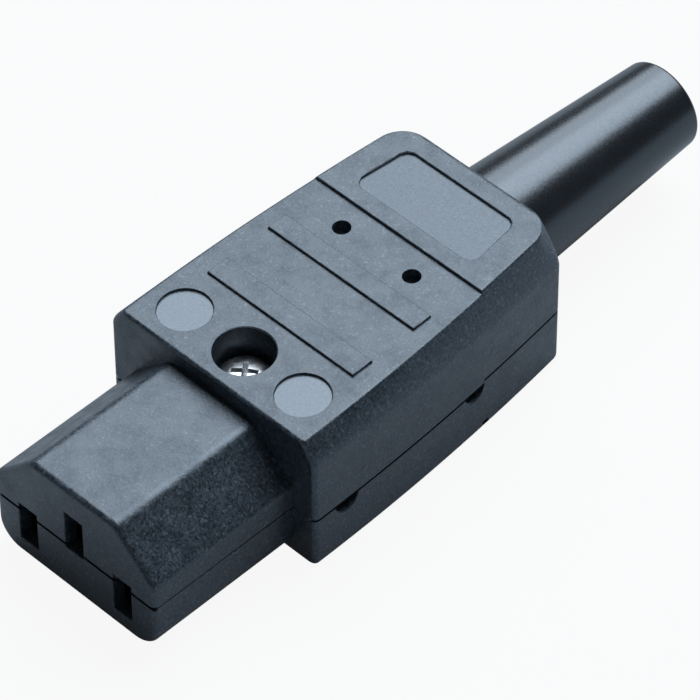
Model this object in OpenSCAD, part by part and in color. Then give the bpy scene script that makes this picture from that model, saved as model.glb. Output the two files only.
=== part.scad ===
// Rewireable C13 connector: two housing shells that meet on a stepped
// parting line, three folded brass contacts with screw terminals, a cord
// clamp and a flexible sleeve. X is the width, Y runs from the mating face
// to the cord, Z is up. Z = 0 is the face that it rests on, and the origin
// is the middle of the footprint.

/* [Mating nose] */
// Width of the nose that enters the inlet
nose_w = 23.6; // [23.3:0.1:24]
// Height of the nose
nose_h = 15.4; // [15.3:0.1:16]
// Length of the nose in front of the housing
nose_l = 19.9; // [18:0.1:22]
// Height of the nose's underside above the resting face
nose_lift = 0.2; // [0:0.1:0.6]
// Chamfer at 45 degrees on the two top corners
nose_chamfer = 5.6; // [5:0.1:6]
// Radius of the two bottom corners
nose_corner_r = 3.2; // [2:0.1:3.6]
// Rounding round the rim of the mating face
nose_rim = 0.7; // [0.3:0.1:1]
// Thickness of the wall at the mating face
face_wall = 1.6; // [1.2:0.1:2.2]

/* [Pins of the inlet] */
// Distance between the live and neutral pins
pin_pitch = 14; // [13.8:0.1:14.2]
// Height of the earth pin above the other two
earth_rise = 4; // [3.8:0.1:4.2]
// Drop of the pins' middle below the nose's middle
pin_drop = 0.7; // [0.3:0.1:0.8]
// Thickness of a pin
pin_w = 2; // [1.9:0.1:2.1]
// Height of a pin
pin_h = 4; // [3.9:0.1:4.1]
// Clearance beside a pin in its slot
slot_side_gap = 0.3; // [0.2:0.05:0.4]
// Clearance above and below a pin in its slot
slot_end_gap = 0.6; // [0.3:0.05:0.7]

/* [Housing] */
// Length of the housing behind the nose
housing_l = 40; // [38:0.1:46]
// Width at the front
front_w = 30.1; // [29:0.1:32]
// Width at the rear
rear_w = 24.8; // [23:0.1:27]
// Outward bow of each side over its length
side_bulge = 0.65; // [0.3:0.05:0.8]
// Height at the front
front_h = 17.9; // [17.4:0.1:19]
// Height at the rear, without the raised field
rear_h = 18.9; // [18:0.1:20]
// Radius of the rear corners at the sides
rear_corner_r = 1.1; // [0.8:0.1:2]
// Radius of the rear corners at the top
rear_top_r = 3.2; // [2.6:0.1:4]
// Height at which the shoulder starts at the front
shoulder_front_z = 15.2; // [14.6:0.1:16]
// Height at which the shoulder starts at the rear
shoulder_rear_z = 14.3; // [13.6:0.1:15]
// Inset of the top edge at the front
shoulder_front_in = 1.75; // [1.2:0.05:2.2]
// Inset of the top edge at the rear
shoulder_rear_in = 1.3; // [1:0.05:2]
// Rounding along the bottom edges
bottom_edge_r = 0.8; // [0.4:0.1:1.2]
// Rounding of the edges round the front
front_edge = 0.4; // [0.2:0.05:0.6]
// Drop of the cover towards its rear edge
rear_edge = 0.3; // [0.1:0.05:0.5]
// Thickness of the side walls
side_wall = 2; // [1.6:0.1:2.2]
// Thickness of the floor
floor_wall = 2; // [1.6:0.1:2.4]
// Thickness of the top at the front
top_wall = 2.3; // [2:0.1:2.6]
// Thickness of the front wall behind the nose
front_wall = 1.5; // [1:0.1:2.2]
// Thickness of the rear wall
rear_wall = 2.2; // [1.8:0.1:2.8]

/* [Parting line] */
// Height of the parting line at the nose and the front
parting_z = 7; // [6.6:0.1:7.4]
// Rise of the parting line behind the rear pry notch
parting_rise = 0.5; // [0.3:0.1:0.8]
// Radius of the front pry notches
front_notch_r = 1.7; // [1.2:0.1:2]
// Radius of the rear pry notches
rear_notch_r = 1.5; // [1.2:0.1:1.8]
// Depth of the pry notches
notch_depth = 1.2; // [0.8:0.1:1.4]
// Distance from the housing's front to the front notches
front_notch_y = 4.8; // [4:0.1:6]
// Distance from the housing's front to the rear notches
rear_notch_y = 25; // [23:0.1:27]
// Width of the small nick in the lower edge
nick_w = 0.9; // [0.5:0.1:1.2]
// Distance from the housing's front to the small nick
nick_y = 26.8; // [26:0.1:27.6]

/* [Cover] */
// Height of the raised field at the rear
step_h = 0.35; // [0.25:0.05:0.6]
// Distance from the housing's front to the raised field
step_y = 27.6; // [26.5:0.1:29]
// Diameter of the two round recesses
disc_d = 6.05; // [5.5:0.05:6.6]
// Distance between the centres of the round recesses
disc_pitch = 17.4; // [16.8:0.1:18]
// Distance from the housing's front to the round recesses
disc_y = 4.75; // [4.2:0.05:5.2]
// Depth of the shallow recesses
recess_depth = 0.3; // [0.2:0.05:0.4]
// Diameter of the two small blind holes
peg_hole_d = 2; // [1.6:0.1:2.4]
// Distance between the small blind holes
peg_hole_pitch = 10.3; // [9.6:0.1:11]
// Distance from the housing's front to the small blind holes
peg_hole_y = 24.4; // [23.8:0.1:25]
// Depth of the small blind holes
peg_hole_depth = 1.6; // [1:0.1:1.8]
// Length of the raised grip pads
pad_l = 21.4; // [19:0.1:22]
// Width of the front pad
front_pad_w = 2.9; // [2.4:0.1:3.2]
// Width of the rear pad
rear_pad_w = 2.65; // [2.4:0.05:3.2]
// Height of the pads
pad_h = 0.3; // [0.2:0.05:0.4]
// Distance from the housing's front to the front pad
front_pad_y = 10; // [9.4:0.1:11]
// Distance from the housing's front to the rear pad
rear_pad_y = 18.95; // [17:0.05:19.6]
// Width of the marking field at its front
field_front_w = 17.2; // [16:0.1:18]
// Width of the marking field at its rear
field_rear_w = 16; // [15:0.1:17]
// Length of the marking field
field_l = 7.5; // [6.5:0.1:8]
// Distance from the step to the marking field
field_gap = 2.2; // [1.8:0.1:2.6]
// Cut corners of the marking field
field_corner = 1.1; // [0.6:0.1:1.6]

/* [Housing screw] */
// Diameter of the screw's thread
screw_d = 3; // [2.9:0.1:3.2]
// Length of the screw under its head
screw_l = 11.6; // [11.2:0.1:12]
// Diameter of the screw's head
head_d = 6; // [5.6:0.1:6.2]
// Height of the screw's head
head_h = 2.2; // [1.8:0.1:2.4]
// Depth of the head below the cover
head_sink = 2.9; // [2.6:0.1:3.4]
// Diameter of the sunk hole over the head
sink_d = 6.8; // [6.6:0.1:7.2]
// Distance from the housing's front to the screw
screw_y = 4.86; // [4.6:0.02:5.2]
// Thickness of the cover's seat under the head
seat_wall = 1.8; // [1.4:0.1:2.2]
// Thickness of the column's wall round the sunk hole
column_wall = 1.1; // [0.9:0.1:1.2]
// Thickness of the base column's wall round the screw
boss_wall = 1.7; // [1.2:0.1:2]
// Width of the nut over its flats
nut_flats = 5.5; // [5.3:0.1:5.7]
// Height of the nut
nut_h = 2.4; // [2:0.1:2.6]
// Depth of the nut above the resting face
nut_sink = 0.8; // [0.5:0.1:1]

/* [Contacts] */
// Thickness of the contact strip
strip_t = 0.6; // [0.5:0.05:0.7]
// Thickness of a spring leaf
leaf_t = 0.5; // [0.4:0.05:0.6]
// Gap between the leaves where they grip the pin
leaf_gap = 1.7; // [1.5:0.05:1.8]
// Height of the leaves
leaf_h = 4.4; // [4:0.1:4.8]
// Length of the leaves
leaf_l = 12.6; // [11:0.1:13]
// Opening of each leaf at its mouth
leaf_flare = 0.7; // [0.4:0.05:0.8]
// Inward set of each leaf from the channel
leaf_set = 0.15; // [0.1:0.05:0.2]
// Length of the channel behind the leaves
channel_l = 4; // [3.5:0.1:4.6]
// Width of the terminal tabs
tab_w = 5.4; // [5:0.1:5.6]
// Length of the terminal tabs
tab_l = 6; // [5.4:0.1:6.4]
// Width of the neck that takes the earth strip past the screw boss
earth_neck_w = 1.5; // [1.2:0.1:1.6]
// Thickness of the spring clips
clip_t = 0.35; // [0.25:0.05:0.45]
// Length of the spring clips
clip_l = 3.4; // [2.6:0.1:3.8]

/* [Terminals] */
// Distance between the live and neutral terminal screws
terminal_pitch = 17.6; // [17.2:0.1:18]
// Distance from the housing's front to the earth screw
earth_terminal_y = 14.6; // [14.4:0.1:15]
// Distance from there to the live and neutral screws
terminal_step = 3.4; // [3:0.1:3.8]
// Diameter of the terminal screws
terminal_d = 3; // [2.6:0.1:3.2]
// Length of the terminal screws under their heads
terminal_l = 6; // [5:0.1:6.2]
// Diameter of the terminal screws' heads
terminal_head_d = 5; // [4.6:0.1:5.2]
// Height of the terminal screws' heads
terminal_head_h = 1.8; // [1.5:0.1:2.2]
// Room for the screws' tips in their blocks
tip_room = 1; // [0.6:0.1:1.2]
// Width of the clamping washers
washer_w = 5; // [4.6:0.1:5.2]
// Thickness of the clamping washers
washer_t = 0.9; // [0.7:0.05:1.1]

/* [Cord clamp] */
// Diameter of the largest cord
cord_d = 8; // [7:0.1:8.2]
// Distance between the clamp screws
clamp_pitch = 15.6; // [15:0.1:16.4]
// Width of the clamp bar
clamp_w = 5; // [4.4:0.1:5.6]
// Thickness of the clamp bar over the cord
clamp_crown = 1.5; // [1.2:0.1:1.7]
// Thickness of the clamp bar's ears
clamp_ear_t = 2.4; // [2:0.1:2.6]
// Length of the clamp screws under their heads
clamp_screw_l = 8; // [7:0.1:9]
// Thickness of the cord saddles
saddle_t = 1.4; // [1:0.1:1.8]
// Thickness of the posts' wall round the clamp screws
post_wall = 1; // [0.8:0.1:1.2]

/* [Sleeve] */
// Length of the sleeve outside the housing
sleeve_l = 29.5; // [27:0.1:34]
// Diameter of the sleeve at the housing
sleeve_root_d = 14.1; // [13:0.1:14.4]
// Diameter of the sleeve at its end
sleeve_tip_d = 10.8; // [10.4:0.1:12]
// Drop of the sleeve's axis below the middle of the rear
sleeve_drop = 0.3; // [0:0.1:0.5]
// Diameter of the neck in the rear wall
sleeve_neck_d = 11.2; // [10.8:0.1:11.6]
// Diameter of the flange behind the rear wall
sleeve_flange_d = 13.8; // [13:0.1:14]
// Thickness of the flange
sleeve_flange_t = 2; // [1.5:0.1:2.6]
// Rounding of the sleeve's end
sleeve_tip_r = 0.45; // [0.3:0.05:0.5]

/* [Clearances] */
// Gap between a nut or a flange and its pocket
pocket_gap = 0.1; // [0.05:0.05:0.2]
// Gap round a screw in its hole
hole_gap = 0.05; // [0.03:0.01:0.1]
// Gap round the contacts in their chambers
chamber_gap = 0.25; // [0.15:0.05:0.35]
// Gap round the cord in the sleeve
cord_gap = 0.2; // [0.1:0.05:0.3]

/* [Hidden] */
$fn = 64;

charcoal = "#3b4148";
soft_black = "#2b2f34";
brass = "#c9a651";
steel = "#b9bec4";
nut_brass = "#b8954a";

// Cuts pass a face by this much
cut = 1;
// Pieces of one moulding run into each other by this much
bond = 0.4;
// The ramp of the raised field is this long
step_ramp = 0.12;
// Power that rounds the shoulder into the side wall
shoulder_power = 1.4;
// Power that keeps the drop of the cover close to its rear edge
rear_edge_power = 12;
// Width and length of a screw's cross recess, as shares of its head's diameter
recess_w_share = 0.15;
recess_l_share = 0.55;
// Depth of the recess and height of the head's rounding, as shares of its height
recess_h_share = 0.6;
cap_edge_share = 0.3;
// Share of a leaf's length from its mouth to its grip
grip_share = 0.3;
// Share of a leaf's height that a clip's arm covers
arm_share = 0.9;

overall_l = nose_l + housing_l + sleeve_l;
face_y = -overall_l / 2;
front_y = face_y + nose_l;
rear_y = front_y + housing_l;
end_y = rear_y + sleeve_l;

nose_top_z = nose_lift + nose_h;
pin_mid_z = nose_lift + nose_h / 2 - pin_drop;
line_pin_z = pin_mid_z - earth_rise / 2;
earth_pin_z = pin_mid_z + earth_rise / 2;

ceiling_z = front_h - top_wall;
sleeve_z = rear_h / 2 - sleeve_drop;
cavity_front_y = front_y + front_wall;
cavity_rear_y = rear_y - rear_wall;

cover_tilt = atan((rear_h - front_h) / housing_l);
screw_axis_y = front_y + screw_y;
screw_seat_z = front_h + screw_y * tan(cover_tilt) - head_sink - head_h;
boss_top_z = screw_seat_z - seat_wall;
boss_r = screw_d / 2 + boss_wall;
column_r = sink_d / 2 + column_wall;
nut_pocket_top_z = nut_sink + nut_h;
nut_corner_d = (nut_flats + 2 * pocket_gap) / cos(30);

leaf_front_y = face_y + face_wall + chamber_gap;
channel_front_y = leaf_front_y + leaf_l;
channel_rear_y = channel_front_y + channel_l;
channel_half = leaf_gap / 2 + leaf_set + leaf_t;
earth_screw_y = front_y + earth_terminal_y;
line_screw_y = earth_screw_y + terminal_step;
line_tab_z = line_pin_z + leaf_h / 2;
earth_tab_z = earth_pin_z + leaf_h / 2;
earth_neck_in = column_r + chamber_gap;
earth_neck_out = earth_neck_in + earth_neck_w;

clamp_y = cavity_rear_y - sleeve_flange_t - pocket_gap - saddle_t / 2 - clamp_w / 2;
cord_bore_r = cord_d / 2 + cord_gap;
clamp_post_r = screw_d / 2 + post_wall;

function mix(a, b, t) = a + (b - a) * t;
function mirrored(points) = [
    for (i = [len(points) - 1 : -1 : 0]) [-points[i][0], points[i][1]]
];

// Half width of the housing at a share t of its length
function side_half(t) =
    mix(front_w / 2, rear_w / 2, t) + 4 * side_bulge * t * (1 - t);

// Height of the cover at a distance y from the housing's front
function cover_z(y) =
    mix(front_h, rear_h, y / housing_l) + (y > step_y ? step_h : 0);

// Right half of the housing's section, from the bottom to the top. The curve
// of the shoulder runs on over the side of the raised field.
function housing_half(y, draw_in, drop, top_in) =
    let (
        t = y / housing_l,
        half = side_half(t) - draw_in,
        low_z = mix(shoulder_front_z, shoulder_rear_z, t) - drop,
        inset = mix(shoulder_front_in, shoulder_rear_in, t) + top_in,
        plain_top = mix(front_h, rear_h, t) - drop,
        reach = (cover_z(y) - drop - low_z) / (plain_top - low_z)
    )
    concat(
        [for (a = [-90 : 30 : 0])
            [half - bottom_edge_r * (1 - cos(a)), bottom_edge_r * (1 + sin(a))]],
        [for (s = [0 : 1 / 6 : 1.001])
            [
                half - inset * pow(s * reach, shoulder_power),
                mix(low_z, plain_top, s * reach)
            ]]
    );

// Inward shift of a rear corner of radius r at a distance back from the rear
function corner_in(r, back) = back < r ? r - sqrt(r * r - pow(r - back, 2)) : 0;

// Distance from the front, inward shift, drop and further inward shift of the
// top edge, for each section of the housing
housing_stations = concat(
    [for (a = [0 : 45 : 90])
        [front_edge * (1 - cos(a)), front_edge * (1 - sin(a)), front_edge * (1 - sin(a)), 0]],
    [for (k = [1 : 5]) [step_y * k / 5, 0, 0, 0]],
    [for (k = [0 : 3])
        [mix(step_y + step_ramp, housing_l - rear_top_r, k / 3), 0, 0, 0]],
    [for (a = [15 : 15 : 90])
        let (
            back = rear_top_r * (1 - sin(a)),
            side_in = corner_in(rear_corner_r, back)
        )
        [
            housing_l - back,
            side_in,
            rear_edge * pow(sin(a), rear_edge_power),
            corner_in(rear_top_r, back) - side_in
        ]]
);

// Right half of the nose's section, drawn in all round by a distance
function nose_half(draw_in) =
    let (
        r = nose_corner_r,
        half = nose_w / 2,
        slant = draw_in * (sqrt(2) - 1)
    )
    concat(
        [for (a = [-90 : 15 : 0])
            [half - r + (r - draw_in) * cos(a), nose_lift + r + (r - draw_in) * sin(a)]],
        [
            [half - draw_in, nose_top_z - nose_chamfer - slant],
            [half - nose_chamfer - slant, nose_top_z - draw_in]
        ]
    );

nose_stations = concat(
    [for (a = [0 : 30 : 90]) [nose_rim * (1 - cos(a)), nose_rim * (1 - sin(a))]],
    [[nose_l + bond, 0]]
);

// A section closed by its mirror image and stood up at a place along Y
function ring(half, y) = [for (p = concat(half, mirrored(half))) [p[0], y, p[1]]];

// Closed skin through rings that have the same number of points
module skin(rings) {
    count = len(rings[0]);
    last = len(rings) - 1;
    polyhedron(
        points = [for (one = rings) each one],
        faces = concat(
            [[for (i = [count - 1 : -1 : 0]) i]],
            [for (k = [0 : last - 1], i = [0 : count - 1])
                let (a = k * count + i, b = k * count + (i + 1) % count)
                each [[a, b, b + count], [a, b + count, a + count]]],
            [[for (i = [0 : count - 1]) last * count + i]]
        )
    );
}

module housing_body() {
    skin([for (s = housing_stations) ring(housing_half(s[0], s[1], s[2], s[3]), front_y + s[0])]);
}

module nose_body() {
    skin([for (s = nose_stations) ring(nose_half(s[1]), face_y + s[0])]);
}

// Everything below the stepped parting line
module below_parting() {
    reach = front_w + cut;
    jog_y = front_y + rear_notch_y;
    translate([-reach / 2, 0, 0]) rotate([90, 0, 90]) linear_extrude(reach)
        polygon([
            [face_y - cut, -cut],
            [rear_y + cut, -cut],
            [rear_y + cut, parting_z + parting_rise],
            [jog_y, parting_z + parting_rise],
            [jog_y, parting_z],
            [face_y - cut, parting_z]
        ]);
}

// Space inside the walls of both shells
module wiring_space() {
    front_t = front_wall / housing_l;
    rear_t = 1 - rear_wall / housing_l;
    half = [
        for (k = [0 : 4])
            let (t = mix(front_t, rear_t, k / 4))
            [side_half(t) - side_wall, front_y + t * housing_l]
    ];
    translate([0, 0, floor_wall]) linear_extrude(ceiling_z - floor_wall)
        polygon(concat(half, mirrored(half)));
}

// Chamber of one contact with the slot for its pin, centred on the pin
module contact_chamber(x, z) {
    half_w = channel_half + leaf_flare + chamber_gap;
    half_h = leaf_h / 2 + strip_t + clip_t + chamber_gap;
    slot_w = pin_w + 2 * slot_side_gap;
    slot_h = pin_h + 2 * slot_end_gap;
    back_y = face_y + face_wall;
    translate([x - half_w, back_y, z - half_h])
        cube([2 * half_w, cavity_front_y + cut - back_y, 2 * half_h]);
    translate([x - slot_w / 2, face_y - cut, z - slot_h / 2])
        cube([slot_w, face_wall + 2 * cut, slot_h]);
}

module contact_chambers() {
    for (side = [-1, 1])
        contact_chamber(side * pin_pitch / 2, line_pin_z);
    contact_chamber(0, earth_pin_z);
}

// Way for the earth strip behind its chamber, open towards the base
module earth_strip_way() {
    way_y = channel_front_y - chamber_gap;
    top_z = earth_tab_z + strip_t + chamber_gap;
    translate([0, way_y, parting_z])
        cube([earth_neck_out + chamber_gap, cavity_front_y + cut - way_y, top_z - parting_z]);
}

// Hole in the rear wall for the sleeve's neck, and the room for its flange
module sleeve_hole() {
    room_l = sleeve_flange_t + pocket_gap;
    translate([0, cavity_rear_y - cut, sleeve_z]) rotate([-90, 0, 0])
        cylinder(h = rear_wall + 2 * cut, d = sleeve_neck_d + 2 * pocket_gap);
    translate([0, cavity_rear_y - room_l, sleeve_z]) rotate([-90, 0, 0])
        cylinder(h = room_l, d = sleeve_flange_d + 2 * pocket_gap);
}

// Half round notches under the parting line for a screwdriver's tip
module pry_notches() {
    for (side = [-1, 1], n = [[front_notch_y, front_notch_r], [rear_notch_y, rear_notch_r]]) {
        half = side_half(n[0] / housing_l);
        translate([side * (half - notch_depth / 2 + cut / 2), front_y + n[0], parting_z])
            rotate([0, 90, 0])
                cylinder(h = notch_depth + cut, r = n[1], center = true);
    }
}

// Small nick in the lower edge of the +X side
module edge_nick() {
    half = side_half(nick_y / housing_l);
    translate([half - bottom_edge_r, front_y + nick_y - nick_w / 2, -cut])
        cube([bottom_edge_r + cut, nick_w, nick_w + cut]);
}

// Places its children on the sloping cover, with Y from the housing's front
module on_cover() {
    translate([0, front_y, front_h]) rotate([cover_tilt, 0, 0]) children();
}

module cover_recesses() {
    field_y = step_y + field_gap;
    on_cover() {
        for (side = [-1, 1]) {
            translate([side * disc_pitch / 2, disc_y, -recess_depth])
                cylinder(h = recess_depth + cut, d = disc_d);
            translate([side * peg_hole_pitch / 2, peg_hole_y, -peg_hole_depth])
                cylinder(h = peg_hole_depth + cut, d = peg_hole_d);
        }
        translate([0, field_y, step_h - recess_depth]) linear_extrude(recess_depth + cut)
            marking_field();
    }
}

// Bare recessed field with cut corners
module marking_field() {
    half = [
        [field_front_w / 2 - field_corner, 0],
        [field_front_w / 2, field_corner],
        [field_rear_w / 2, field_l - field_corner],
        [field_rear_w / 2 - field_corner, field_l]
    ];
    polygon(concat(half, mirrored(half)));
}

module cover_pads() {
    for (pad = [[front_pad_y, front_pad_w], [rear_pad_y, rear_pad_w]])
        on_cover() translate([-pad_l / 2, pad[0], -bond])
            cube([pad_l, pad[1], pad_h + bond]);
}

// Hole for the housing screw, with the wide part over its head
module housing_screw_hole() {
    translate([0, screw_axis_y, -cut])
        cylinder(h = screw_seat_z + 2 * cut, d = screw_d + 4 * hole_gap);
    translate([0, screw_axis_y, screw_seat_z])
        cylinder(h = front_h, d = sink_d);
}

module upper_shell() {
    color(charcoal) difference() {
        union() {
            difference() {
                union() {
                    housing_body();
                    nose_body();
                }
                below_parting();
                wiring_space();
            }
            cover_pads();
            translate([0, screw_axis_y, boss_top_z])
                cylinder(h = ceiling_z + bond - boss_top_z, r = column_r);
        }
        contact_chambers();
        earth_strip_way();
        sleeve_hole();
        cover_recesses();
        housing_screw_hole();
    }
}

// Block under a terminal tab, hollow under the screw's tip
module terminal_pedestal(x, y, top_z) {
    difference() {
        translate([x - tab_w / 2, y - tab_l / 2, floor_wall - bond])
            cube([tab_w, tab_l, top_z - floor_wall + bond]);
        translate([x, y, floor_wall])
            cylinder(h = top_z, d = terminal_d + tip_room);
    }
}

// Ribs that carry the cord under the clamp bar
module cord_saddles() {
    reach = clamp_pitch - 2 * clamp_post_r + 2 * bond;
    for (side = [-1, 1])
        difference() {
            translate([-reach / 2, clamp_y + side * clamp_w / 2 - saddle_t / 2, floor_wall - bond])
                cube([reach, saddle_t, parting_z - floor_wall + bond]);
            translate([0, clamp_y, sleeve_z]) rotate([90, 0, 0])
                cylinder(h = 2 * clamp_w, d = cord_d, center = true);
        }
}

module clamp_posts() {
    for (side = [-1, 1])
        translate([side * clamp_pitch / 2, clamp_y, floor_wall - bond])
            cylinder(h = sleeve_z - floor_wall + bond, r = clamp_post_r);
}

module clamp_post_holes() {
    for (side = [-1, 1])
        translate([side * clamp_pitch / 2, clamp_y, floor_wall])
            cylinder(h = sleeve_z, d = screw_d + 2 * hole_gap);
}

// Column that the housing screw pulls the cover on to
module screw_boss() {
    translate([0, screw_axis_y, floor_wall - bond]) {
        cylinder(h = nut_pocket_top_z + seat_wall - floor_wall + bond, d = nut_corner_d + seat_wall);
        cylinder(h = boss_top_z - hole_gap - floor_wall + bond, r = boss_r);
    }
}

module nut_pocket() {
    translate([0, screw_axis_y, -cut])
        cylinder(h = nut_pocket_top_z + cut, d = nut_corner_d, $fn = 6);
}

module lower_shell() {
    color(charcoal) difference() {
        union() {
            difference() {
                intersection() {
                    union() {
                        housing_body();
                        nose_body();
                    }
                    below_parting();
                }
                wiring_space();
            }
            screw_boss();
            clamp_posts();
            cord_saddles();
            for (side = [-1, 1])
                terminal_pedestal(side * terminal_pitch / 2, line_screw_y, line_tab_z);
            terminal_pedestal(0, earth_screw_y, earth_tab_z);
        }
        contact_chambers();
        sleeve_hole();
        pry_notches();
        edge_nick();
        housing_screw_hole();
        nut_pocket();
        clamp_post_holes();
    }
}

// Screw with its head's underside at Z = 0 and a cross recess
module cross_screw(thread_d, length, cap_d, cap_h) {
    recess_w = cap_d * recess_w_share;
    recess_l = cap_d * recess_l_share;
    recess_h = cap_h * recess_h_share;
    edge = cap_h * cap_edge_share;
    difference() {
        union() {
            translate([0, 0, -length]) cylinder(h = length + bond, d = thread_d);
            rotate_extrude() polygon([
                [0, 0], [cap_d / 2, 0], [cap_d / 2, cap_h - 2 * edge],
                [cap_d / 2 - edge / 2, cap_h - edge / 2], [cap_d / 2 - 2 * edge, cap_h], [0, cap_h]
            ]);
        }
        for (turn = [0, 90])
            rotate([0, 0, turn]) translate([-recess_l / 2, -recess_w / 2, cap_h - recess_h])
                cube([recess_l, recess_w, recess_h + cut]);
    }
}

module housing_screw() {
    color(steel) translate([0, screw_axis_y, screw_seat_z])
        cross_screw(screw_d, screw_l, head_d, head_h);
}

module housing_nut() {
    color(nut_brass) translate([0, screw_axis_y, nut_sink]) difference() {
        cylinder(h = nut_h, d = nut_flats / cos(30), $fn = 6);
        translate([0, 0, -cut]) cylinder(h = nut_h + 2 * cut, d = screw_d + 2 * hole_gap);
    }
}

// One spring leaf from its flared mouth to the channel, on the +X side
module leaf() {
    grip = leaf_gap / 2;
    straight_l = clip_l + leaf_t;
    inner = [
        [grip + leaf_flare, 0],
        [grip, leaf_l * grip_share],
        [grip, leaf_l * grip_share + straight_l],
        [channel_half - leaf_t, leaf_l],
        [channel_half - leaf_t, leaf_l + channel_l]
    ];
    outer = [for (i = [len(inner) - 1 : -1 : 0]) inner[i] + [leaf_t, 0]];
    linear_extrude(leaf_h) polygon(concat(inner, outer));
}

// Both leaves, standing on Z = 0 with the mouth at Y = 0
module leaf_pair() {
    leaf();
    mirror([1, 0, 0]) leaf();
}

// Flat strip from the channel out to the terminal tab, with its threaded hole
module terminal_strip(outline, tab_x, tab_y) {
    difference() {
        linear_extrude(strip_t) polygon(outline);
        translate([tab_x, tab_y, -cut])
            cylinder(h = strip_t + 2 * cut, d = terminal_d + 2 * hole_gap);
    }
}

// Contact with its terminal beside the pins; side is 1 or -1
module line_contact(side) {
    pin_x = pin_pitch / 2;
    tab_x = terminal_pitch / 2;
    bend_y = cavity_front_y + chamber_gap;
    bend_l = 2 * (tab_x - pin_x);
    tab_front_y = line_screw_y - tab_l / 2;
    tab_rear_y = line_screw_y + tab_l / 2;
    outline = [
        [pin_x - channel_half, channel_front_y],
        [pin_x + channel_half, channel_front_y],
        [pin_x + channel_half, bend_y],
        [tab_x + channel_half, bend_y + bend_l],
        [tab_x + channel_half, tab_front_y],
        [tab_x + tab_w / 2, tab_front_y],
        [tab_x + tab_w / 2, tab_rear_y],
        [tab_x - tab_w / 2, tab_rear_y],
        [tab_x - tab_w / 2, tab_front_y],
        [tab_x - channel_half, tab_front_y],
        [tab_x - channel_half, bend_y + bend_l],
        [pin_x - channel_half, bend_y]
    ];
    color(brass) mirror([side < 0 ? 1 : 0, 0, 0]) {
        translate([pin_x, leaf_front_y, line_pin_z - leaf_h / 2]) leaf_pair();
        translate([0, 0, line_tab_z]) terminal_strip(outline, tab_x, line_screw_y);
    }
}

// Contact with its terminal behind the screw column, passing on its +X side
module earth_contact() {
    tab_front_y = earth_screw_y - tab_l / 2;
    tab_rear_y = earth_screw_y + tab_l / 2;
    outline = [
        [-channel_half, channel_front_y],
        [channel_half, channel_front_y],
        [earth_neck_out, channel_rear_y],
        [earth_neck_out, tab_front_y + earth_neck_w],
        [tab_w / 2, tab_front_y + earth_neck_w],
        [tab_w / 2, tab_rear_y],
        [-tab_w / 2, tab_rear_y],
        [-tab_w / 2, tab_front_y],
        [earth_neck_in, tab_front_y],
        [earth_neck_in, channel_rear_y],
        [-channel_half, channel_rear_y]
    ];
    color(brass) {
        translate([0, leaf_front_y, earth_pin_z - leaf_h / 2]) leaf_pair();
        translate([0, 0, earth_tab_z]) terminal_strip(outline, 0, earth_screw_y);
    }
}

// Spring steel clip that closes round both leaves; turn is 0 or 180
module contact_clip(x, z, turn) {
    inner = leaf_gap / 2 + leaf_t + hole_gap;
    reach = inner + clip_t;
    arm = leaf_h * arm_share;
    top = leaf_h / 2 + hole_gap;
    clip_y = leaf_front_y + leaf_l * grip_share + leaf_t / 2;
    color(steel) translate([x, clip_y, z]) rotate([0, turn, 0])
        translate([0, clip_l, 0]) rotate([90, 0, 0]) linear_extrude(clip_l)
            polygon([
                [-reach, top - arm], [-inner, top - arm], [-inner, top],
                [inner, top], [inner, top - arm], [reach, top - arm],
                [reach, top + clip_t], [-reach, top + clip_t]
            ]);
}

// Square washer that presses the wire on to its tab
module washer(x, y, z) {
    color(steel) translate([x, y, z]) difference() {
        translate([-washer_w / 2, -washer_w / 2, 0]) cube([washer_w, washer_w, washer_t]);
        translate([0, 0, -cut]) cylinder(h = washer_t + 2 * cut, d = terminal_d + 4 * hole_gap);
    }
}

module terminal_screw(x, y, z) {
    color(steel) translate([x, y, z + washer_t])
        cross_screw(terminal_d, terminal_l, terminal_head_d, terminal_head_h);
}

// Bar with an arch over the cord and an ear on each post
module cord_clamp() {
    reach = clamp_pitch + 2 * clamp_post_r;
    color(charcoal) difference() {
        translate([0, clamp_y + clamp_w / 2, sleeve_z]) rotate([90, 0, 0])
            linear_extrude(clamp_w) difference() {
                union() {
                    translate([-reach / 2, 0]) square([reach, clamp_ear_t]);
                    circle(r = cord_d / 2 + clamp_crown);
                }
                circle(d = cord_d);
                translate([-reach / 2, -reach]) square([reach, reach]);
            }
        for (side = [-1, 1])
            translate([side * clamp_pitch / 2, clamp_y, sleeve_z - cut])
                cylinder(h = clamp_ear_t + 2 * cut, d = screw_d + 4 * hole_gap);
    }
}

module clamp_screw(side) {
    color(steel) translate([side * clamp_pitch / 2, clamp_y, sleeve_z + clamp_ear_t])
        cross_screw(screw_d, clamp_screw_l, terminal_head_d, terminal_head_h);
}

// Turned form of the sleeve: flange, neck in the rear wall and long taper
module sleeve() {
    flange_y = -rear_wall - sleeve_flange_t;
    tip_r = sleeve_tip_d / 2;
    color(soft_black) translate([0, rear_y, sleeve_z]) rotate([-90, 0, 0])
        rotate_extrude() difference() {
            polygon(concat(
                [
                    [cord_bore_r, flange_y],
                    [sleeve_flange_d / 2, flange_y],
                    [sleeve_flange_d / 2, -rear_wall],
                    [sleeve_neck_d / 2, -rear_wall],
                    [sleeve_neck_d / 2, 0],
                    [sleeve_root_d / 2, 0]
                ],
                [for (a = [0 : 18 : 90])
                    [tip_r - sleeve_tip_r * (1 - cos(a)), sleeve_l - sleeve_tip_r * (1 - sin(a))]],
                [[cord_bore_r, sleeve_l]]
            ));
        }
}

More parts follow.
